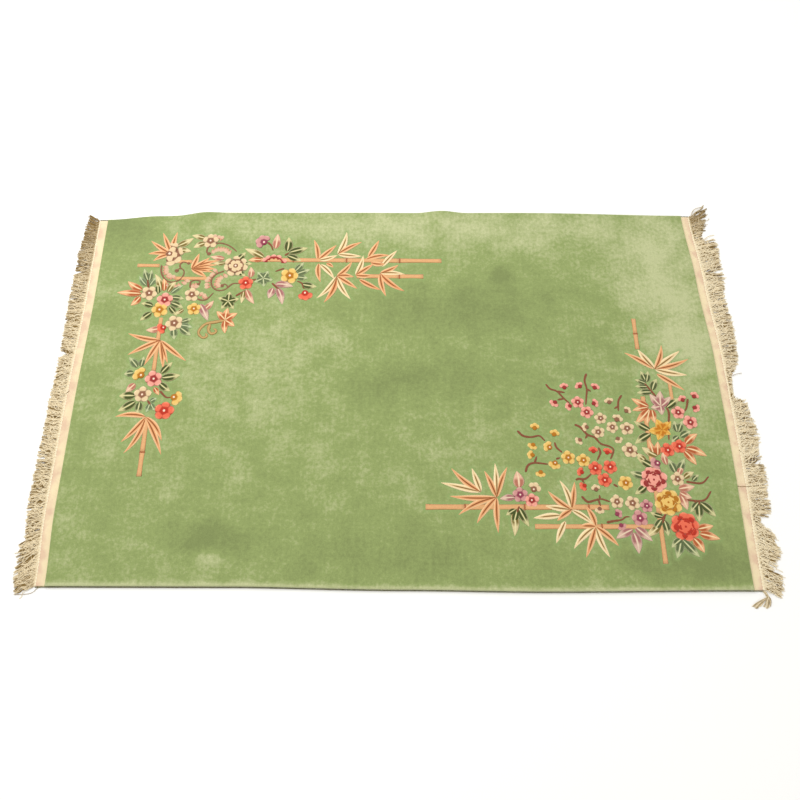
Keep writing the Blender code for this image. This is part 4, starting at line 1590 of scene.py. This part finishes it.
def overcast_tree():
    """Rings of yarn whipped round a path at an even pitch, each leaning like a stitch."""
    tree, given = new_tree(
        "overcast wraps", Pitch="Float", Ring="Float", Yarn="Float", Wool="Material"
    )
    path = add_node(tree, "GeometryNodeMeshToCurve", {"Mesh": given["Geometry"]})
    stations = add_node(
        tree, "GeometryNodeCurveToPoints", {"Curve": path, "Length": given["Pitch"]}, mode="LENGTH"
    )
    ring, strand = (
        add_node(tree, "GeometryNodeCurvePrimitiveCircle", {"Resolution": sides, "Radius": radius})
        for sides, radius in ((9, given["Ring"]), (5, given["Yarn"]))
    )
    wrap = add_node(tree, "GeometryNodeCurveToMesh", {"Curve": ring, "Profile Curve": strand})
    leaning = add_node(
        tree, "FunctionNodeRotateRotation",
        {"Rotation": stations.outputs["Rotation"], "Rotate By": (STITCH_LEAN, 0.0, 0.0)},
        rotation_space="LOCAL",
    )
    chance = add_node(
        tree, "FunctionNodeRandomValue", {2: 0.88, 3: 1.0, "Seed": SEED}, data_type="FLOAT"
    )
    wraps = add_node(
        tree, "GeometryNodeInstanceOnPoints",
        {"Points": stations, "Instance": wrap, "Rotation": leaning, "Scale": chance.outputs[1]},
    )
    return end_tree(tree, wraps, given["Wool"])


def knots_tree():
    """A flattened knot of warps on every point, with a fixed seed for its turn."""
    tree, given = new_tree(
        "knots on points", Length="Float", Pitch="Float", Height="Float", Cotton="Material"
    )
    ball = add_node(tree, "GeometryNodeMeshIcoSphere", {"Radius": 0.5, "Subdivisions": 2})
    size = add_node(
        tree, "ShaderNodeCombineXYZ",
        {"X": given["Length"], "Y": given["Pitch"], "Z": given["Height"]},
    )
    turn = add_node(
        tree, "FunctionNodeRandomValue", {2: -0.35, 3: 0.35, "Seed": SEED}, data_type="FLOAT"
    )
    turned = add_node(tree, "ShaderNodeCombineXYZ", {"Z": turn.outputs[1]})
    laid = add_node(
        tree, "GeometryNodeInstanceOnPoints",
        {"Points": given["Geometry"], "Instance": ball, "Rotation": turned, "Scale": size},
    )
    return end_tree(tree, laid, given["Cotton"])


class RUG_OT_selvedges(bpy.types.Operator):
    """Whips wool round the edge warps along both long sides"""

    bl_idname = "rug.selvedges"
    bl_label = "Selvedges"

    def execute(self, context):
        trim = context.scene.rug_trim

        def paint(tree, place):
            drift = add_node(tree, "ShaderNodeTexNoise", {"Vector": place, "Scale": 1 / DRIFT_SIZE})
            return add_node(
                tree, "ShaderNodeValToRGB", {"Fac": drift},
                stops=((0.3, trim.overcast), (0.7, linear("#8B8760"))),
            )

        radius = SELVEDGE_DIAMETER / 2
        end = FIELD_LENGTH / 2 + SEAM + BAND_WIDTH
        sizes = {
            "Pitch": trim.wrap_pitch, "Ring": radius * 0.58, "Yarn": radius * 0.42,
            "Wool": spun_yarn("overcast wool", paint),
        }
        for name, side in (("near", -1), ("far", 1)):
            x = np.linspace(-end, end, 240)
            centre_y = side * (FIELD_WIDTH / 2 + SEAM + radius)
            flat = np.stack([x, np.full_like(x, centre_y), np.full_like(x, radius)], axis=1)
            base = bpy.data.meshes.new(name)
            base.from_pydata(lie(flat).tolist(), [(i, i + 1) for i in range(len(x) - 1)], [])
            mesh = grown(base, overcast_tree(), sizes)
            add_piece(f"overcast_{name}", mesh, f"selvedge_{name}")
        return {"FINISHED"}


def woven_web(trim):
    """Plain-woven cotton, thick warps under packed thin wefts, unbleached and a little soiled."""

    def weave(tree, place):
        ribs, wefts = (
            add_node(
                tree, "ShaderNodeTexWave",
                {"Vector": place, "Scale": WAVE_SCALE / pitch, "Distortion": uneven, "Detail": 1.0},
                bands_direction=across,
            ).outputs["Fac"]
            for pitch, uneven, across in ((RIB_PITCH, 1.0, "Y"), (WEFT_PITCH, 1.5, "X"))
        )
        stains = add_node(
            tree, "ShaderNodeTexNoise", {"Vector": place, "Scale": 1 / STAIN_SIZE, "Detail": 4.0}
        )
        pink = add_node(tree, "ShaderNodeAttribute", attribute_name="pink").outputs["Fac"]
        clean = add_node(
            tree, "ShaderNodeMath", {0: pink, 1: -0.30, 2: stains}, operation="MULTIPLY_ADD"
        )
        cloth = add_node(
            tree, "ShaderNodeValToRGB", {"Fac": clean},
            stops=((0.15, linear("#DDBFA2")), (0.36, trim.web), (0.62, linear("#EFDFB4"))),
        )
        rise = add_node(
            tree, "ShaderNodeMath", {0: wefts, 1: 0.35, 2: ribs}, operation="MULTIPLY_ADD"
        )
        relief = add_node(
            tree, "ShaderNodeBump", {"Height": rise, "Strength": 0.5, "Distance": 0.5 * MM}
        )
        return cloth, relief

    finish = {"Roughness": 0.9, "Specular IOR Level": 0.25}
    return new_material("woven cotton web", weave, finish)


class RUG_OT_bands(bpy.types.Operator):
    """Weaves the plain web at both short ends"""

    bl_idname = "rug.bands"
    bl_label = "Web bands"

    def execute(self, context):
        web = woven_web(context.scene.rug_trim)
        inner = FIELD_LENGTH / 2 + SEAM
        for name, side in (("left", -1), ("right", 1)):
            low, high = sorted((side * inner, side * (inner + BAND_WIDTH)))
            work = even_slab(
                np.linspace(low, high, 9),
                np.linspace(-FIELD_WIDTH / 2, FIELD_WIDTH / 2, 371),
                BAND_THICKNESS,
            )
            mesh, flat, laid = mesh_of_slab(work, name)
            uneven = humps(laid, PUCKER_SIZE) * PUCKER
            laid[:, 2] += (flat[:, 2] > BAND_THICKNESS / 2) * uneven
            move_points(mesh, laid)
            set_values(mesh, "pink", (np.abs(flat[:, 0]) - inner) / BAND_WIDTH)
            mesh.materials.append(web)
            band = add_piece(f"web_{name}", mesh, f"band_{name}")
        return {"FINISHED"}


def fringe_tree():
    """Turns every path into a soft yarn, as thick as its points say."""
    tree, given = new_tree(
        "yarns along paths", Sides="Int", Diameter="Float", Cotton="Material"
    )
    paths = add_node(tree, "GeometryNodeMeshToCurve", {"Mesh": given["Geometry"]})
    radius = add_node(
        tree, "ShaderNodeMath", {0: given["Diameter"], 1: 0.5}, operation="MULTIPLY"
    )
    strand = add_node(
        tree, "GeometryNodeCurvePrimitiveCircle", {"Resolution": given["Sides"], "Radius": radius}
    )
    thickness = add_node(
        tree, "GeometryNodeInputNamedAttribute", {"Name": "thickness"}, data_type="FLOAT"
    )
    spun = add_node(
        tree, "GeometryNodeCurveToMesh",
        {"Curve": paths, "Profile Curve": strand, "Scale": thickness, "Fill Caps": True},
    )
    return end_tree(tree, spun, given["Cotton"])


def fringe_cotton(trim):
    """Unbleached cotton warps twisted off: cream where they are clean, tan where they are soiled
    and deep in the fringe, where the shadow among the yarns is painted.
    """

    def paint(tree, place):
        # depth holds soil and the painted shadow among the yarns
        depth = add_node(tree, "ShaderNodeAttribute", attribute_name="depth").outputs["Fac"]
        tint = add_node(
            tree, "ShaderNodeTexNoise", {"Vector": place, "Scale": 1 / TINT_SIZE, "Detail": 3.0}
        )
        # soil and the fringe's painted shade, with a little random tint
        soil = add_node(
            tree, "ShaderNodeMath", {0: tint, 1: 0.4, 2: depth}, operation="MULTIPLY_ADD"
        )
        return add_node(
            tree, "ShaderNodeValToRGB", {"Fac": soil},
            stops=((0.10, linear("#F8ECCE")), (0.45, trim.fringe), (1.0, trim.fringe_soil_and_shadow)),
        )

    return spun_yarn("fringe cotton", paint)


def yarn_path(root, side, length, lean, net, deep, chance):
    """One yarn's points: out of its knot, over to its neighbour's bundle, and loose to its tip."""
    step = length / (YARN_POINTS - 1)
    curl = chance.uniform(0.05, 0.30) if deep else chance.choice(TOP_CURLS)
    waves = chance.uniform(0.7, 2.0)
    phase = chance.uniform(0.0, 2 * math.pi)
    lean += chance.gauss(0.0, 0.08 if deep else 0.14)
    crest = DEEP_CREST if deep else chance.uniform(3.8, 5.8) * MM
    low = DEEP_LOW if deep else TOP_LOW
    ripple = 0.1 * MM if deep else 0.5 * MM
    x, y = root
    points = [(x, y, max(low, KNOT_LEVEL))]
    for i in range(1, YARN_POINTS):
        share = i / (YARN_POINTS - 1)
        out = step * i
        loose = min(max((out - NECK) / LOOSENING, 0.0), 1.0)
        turn = lean * loose + curl * loose * math.sin(phase + waves * 2 * math.pi * share)
        turn += net * (NECK < out < NET_DEPTH)
        x += side * math.cos(turn) * step
        y += math.sin(turn) * step
        ease = min(out / CLIMB, (1.0 - share) * 4.0, 1.0)
        z = low + (crest - low) * ease + ripple * math.sin(phase + share * 11.0) * ease
        points.append((x, y, z))
    return points


Strand = namedtuple("Strand", "path thickness depths")


def knot_strands(root, side, lay, lean, trim, chance):
    """The yarns that run out of one knot, the deep ones first."""
    pitch = FIELD_WIDTH / KNOT_COUNT
    length = math.hypot(lay.reach, lay.swing)
    for i in range(trim.yarns):
        deep = i < trim.yarns * DEEP_SHARE
        start = (root[0], root[1] + chance.uniform(-0.42, 0.42) * pitch)
        longer = chance.uniform(0.86, 0.98) if deep else chance.uniform(0.92, 1.06)
        net = NET_TURN if i % 2 else -NET_TURN
        path = yarn_path(start, side, length * longer, lean, net, deep, chance)
        thickness = DEEP_THICKNESS if deep else chance.uniform(1.1, 1.7)
        # painted shadow on the deep yarns, which show in the gaps among the top ones
        gap_shadow = chance.choice(DEEP_SHADOWS) if deep else chance.uniform(0.0, 0.15)
        depths = [
            lay.soil * 0.55 + gap_shadow * min(j / 4.0, 1.0, 0.3 + (YARN_POINTS - 1 - j) / 6.0)
            for j in range(YARN_POINTS)
        ]
        yield Strand(path, thickness, depths)


def tassel_strands(chance):
    """The loose tassel's yarns, from the corner through its tied neck to the spread tips."""
    root, neck = Vector(TASSEL_ROOT), Vector(TASSEL_NECK)
    for i in range(TASSEL_YARNS):
        share = (i + chance.uniform(0.1, 0.9)) / TASSEL_YARNS
        tip = Vector(TASSEL_TIPS)
        tip.x += TASSEL_SPREAD * share + (TASSEL_PARTING if share > 0.5 else 0.0)
        tip.y += 8 * MM * abs(math.cos(2 * math.pi * share))
        aside = Vector(((share - 0.5) * 4 * MM, 0.0))
        layer = TOP_LOW + 1.2 * MM * (i * 7 % 4)
        points = []
        for j in range(YARN_POINTS):
            out = j / (YARN_POINTS - 1)
            if out < TASSEL_TIE:
                place = (root + aside * 2).lerp(neck + aside, out / TASSEL_TIE)
            else:
                onward = (out - TASSEL_TIE) / (1.0 - TASSEL_TIE)
                place = (neck + aside).lerp(tip, onward)
                place.x += (share - 0.5) * 12 * MM * math.sin(math.pi * onward)
                place.x += 1.5 * MM * math.sin(5.0 * onward + i)
            height = layer * (0.6 + 0.4 * math.cos(math.pi * (out - 0.3)))
            points.append((place.x, place.y, max(height, 1.6 * MM)))
        yield Strand(points, chance.uniform(1.1, 1.5), [chance.uniform(0.0, 0.7)] * YARN_POINTS)


def stray_strand(stray):
    """A stray yarn along a path in centimetres, at its height over the floor or a ripple."""
    path = [
        (x, y, stray.height + underside(x, y)) for x, y in smooth_path(stray.path, 0.5 * CM)
    ]
    return Strand(path, 0.9, [1.2] * len(path))


def base_of_strands(name, strands):
    """The paths of some yarns as one mesh of edges, thinner towards their tips."""
    points, edges, thickness = [], [], []
    for strand in strands:
        first, last = len(points), len(strand.path) - 1
        points += strand.path
        edges += [(first + j, first + j + 1) for j in range(last)]
        thickness += [strand.thickness * (1.0 - YARN_TAPER * j / last) for j in range(last + 1)]
    base = bpy.data.meshes.new(name)
    base.from_pydata(points, edges, [])
    set_values(base, "thickness", thickness)
    # the depth attribute carries soil and painted shadow
    set_values(base, "depth", [depth for strand in strands for depth in strand.depths])
    return base


class RUG_OT_fringes(bpy.types.Operator):
    """Knots off the warps at both ends and lays the tangled fringe"""

    bl_idname = "rug.fringes"
    bl_label = "Fringes"

    def execute(self, context):
        trim = context.scene.rug_trim
        cotton = fringe_cotton(trim)
        inner = FIELD_LENGTH / 2 + 2 * SEAM + BAND_WIDTH
        pitch = FIELD_WIDTH / KNOT_COUNT
        for name, side, lays in (("left", -1, LEFT_FRINGE), ("right", 1, RIGHT_FRINGE)):
            chance = random.Random(SEED + 3 + side)
            strands, knots = [], []
            parting = 0.0
            for knot in range(KNOT_COUNT):
                place = -FIELD_WIDTH / 2 + (knot + 0.5) * pitch
                reach = eased(lays, "reach", place) * chance.uniform(0.97, 1.03)
                swing = eased(lays, "swing", place) + chance.gauss(0.0, 2 * MM)
                lay = Lay(place, reach, swing, eased(lays, "soil", place))
                flat = np.array([[side * (inner + KNOT_ROW_DEPTH * 0.45), place, 0.0]])
                root = lie(flat)[0]
                knots.append((root[0], root[1], KNOT_CENTRE))
                if chance.random() < PARTING_CHANCE:
                    parting = chance.gauss(0.0, 0.15)
                lean = math.atan2(swing, reach) + parting
                strands += knot_strands(root, side, lay, lean, trim, chance)
            if side > 0:
                strands += tassel_strands(chance)
            strands += [stray_strand(stray) for stray in STRAYS if stray.side == side]
            values = {"Sides": 4, "Diameter": trim.yarn_diameter, "Cotton": cotton}
            mesh = grown(base_of_strands(name, strands), fringe_tree(), values)
            add_piece(f"yarns_{name}", mesh, f"fringe_{name}")
            row = bpy.data.meshes.new(name)
            row.from_pydata(knots, [], [])
            values = {
                "Length": KNOT_ROW_DEPTH * 1.6, "Pitch": pitch * 1.3, "Height": KNOT_HEIGHT,
                "Cotton": cotton,
            }
            add_piece(f"knots_{name}", grown(row, knots_tree(), values))
        return {"FINISHED"}


class RUG_OT_stage(bpy.types.Operator):
    """Sets the floor, the soft studio light and the camera"""

    bl_idname = "rug.stage"
    bl_label = "Stage"

    def execute(self, context):
        scene = context.scene
        stage = scene.rug_stage
        bpy.ops.mesh.primitive_plane_add(size=FLOOR_SIZE, location=(0.0, 0.0, 0.0))
        floor = context.object
        floor.name = "floor"
        # Matt studio paper: one seamless pale sheet without gloss
        paper = bpy.data.materials.new("matt studio paper")
        paper.use_nodes = True
        shader = paper.node_tree.nodes["Principled BSDF"]
        shader.inputs["Base Color"].default_value = opaque(stage.floor)
        shader.inputs["Roughness"].default_value = 0.9
        floor.data.materials.append(paper)
        scene.view_settings.view_transform = "Standard"
        world = scene.world or bpy.data.worlds.new("studio")
        scene.world = world
        world.use_nodes = True
        sky = world.node_tree.nodes["Background"]
        sky.inputs["Color"].default_value = SKY_COLOUR
        sky.inputs["Strength"].default_value = stage.sky
        softbox = bpy.data.lights.new("softbox", "AREA")
        softbox.shape = "RECTANGLE"
        softbox.size, softbox.size_y = SOFTBOX_SIZE
        softbox.energy = stage.key_power
        key = bpy.data.objects.new("softbox", softbox)
        scene.collection.objects.link(key)
        key.location = SOFTBOX_PLACE
        key.rotation_euler = (-key.location).to_track_quat("-Z", "Y").to_euler()
        camera = bpy.data.cameras.new("camera")
        camera.sensor_width = SENSOR_MM
        camera.lens = stage.lens
        camera.clip_start, camera.clip_end = CAMERA_RANGE
        eye = bpy.data.objects.new("camera", camera)
        scene.collection.objects.link(eye)
        forward = Vector((
            math.sin(stage.yaw) * math.cos(stage.pitch),
            math.cos(stage.yaw) * math.cos(stage.pitch),
            -math.sin(stage.pitch),
        ))
        level = Vector((math.cos(stage.yaw), -math.sin(stage.yaw), 0.0))
        upright = level.cross(forward)
        right = level * math.cos(stage.roll) + upright * math.sin(stage.roll)
        up = -level * math.sin(stage.roll) + upright * math.cos(stage.roll)
        turn = Matrix((right, up, -forward)).transposed()
        eye.matrix_world = Matrix.Translation(stage.camera_place) @ turn.to_4x4()
        scene.camera = eye
        return {"FINISHED"}


class RUG_PT_panel(bpy.types.Panel):
    """The rug's pieces, in the order in which they are made"""

    bl_label = "Chinese rug"
    bl_idname = "RUG_PT_panel"
    bl_space_type = "VIEW_3D"
    bl_region_type = "UI"
    bl_category = "Rug"

    def draw(self, context):
        for group in ("rug_pile", "rug_trim", "rug_stage"):
            settings = getattr(context.scene, group)
            box = self.layout.box()
            for name in settings.__annotations__:
                box.prop(settings, name)
        for operator in OPERATORS:
            self.layout.operator(operator.bl_idname)


OPERATORS = (
    RUG_OT_blossoms,
    RUG_OT_leaves,
    RUG_OT_canes,
    RUG_OT_twigs,
    RUG_OT_pile,
    RUG_OT_selvedges,
    RUG_OT_bands,
    RUG_OT_fringes,
    RUG_OT_stage,
)
CLASSES = (RugPileSettings, RugTrimSettings, RugStageSettings, *OPERATORS, RUG_PT_panel)


def register():
    for item in CLASSES:
        bpy.utils.register_class(item)
    bpy.types.Scene.rug_pile = PointerProperty(type=RugPileSettings)
    bpy.types.Scene.rug_trim = PointerProperty(type=RugTrimSettings)
    bpy.types.Scene.rug_stage = PointerProperty(type=RugStageSettings)


def unregister():
    del bpy.types.Scene.rug_stage
    del bpy.types.Scene.rug_trim
    del bpy.types.Scene.rug_pile
    for item in reversed(CLASSES):
        bpy.utils.unregister_class(item)


def main():
    register()
    bpy.ops.rug.blossoms()
    bpy.ops.rug.leaves()
    bpy.ops.rug.canes()
    bpy.ops.rug.twigs()
    bpy.ops.rug.pile()
    bpy.ops.rug.selvedges()
    bpy.ops.rug.bands()
    bpy.ops.rug.fringes()
    bpy.ops.rug.stage()
    pile = bpy.data.objects["pile"]
    others = [item.name for item in collection_of_rug().objects if item != pile]


if __name__ == "__main__":
    main()
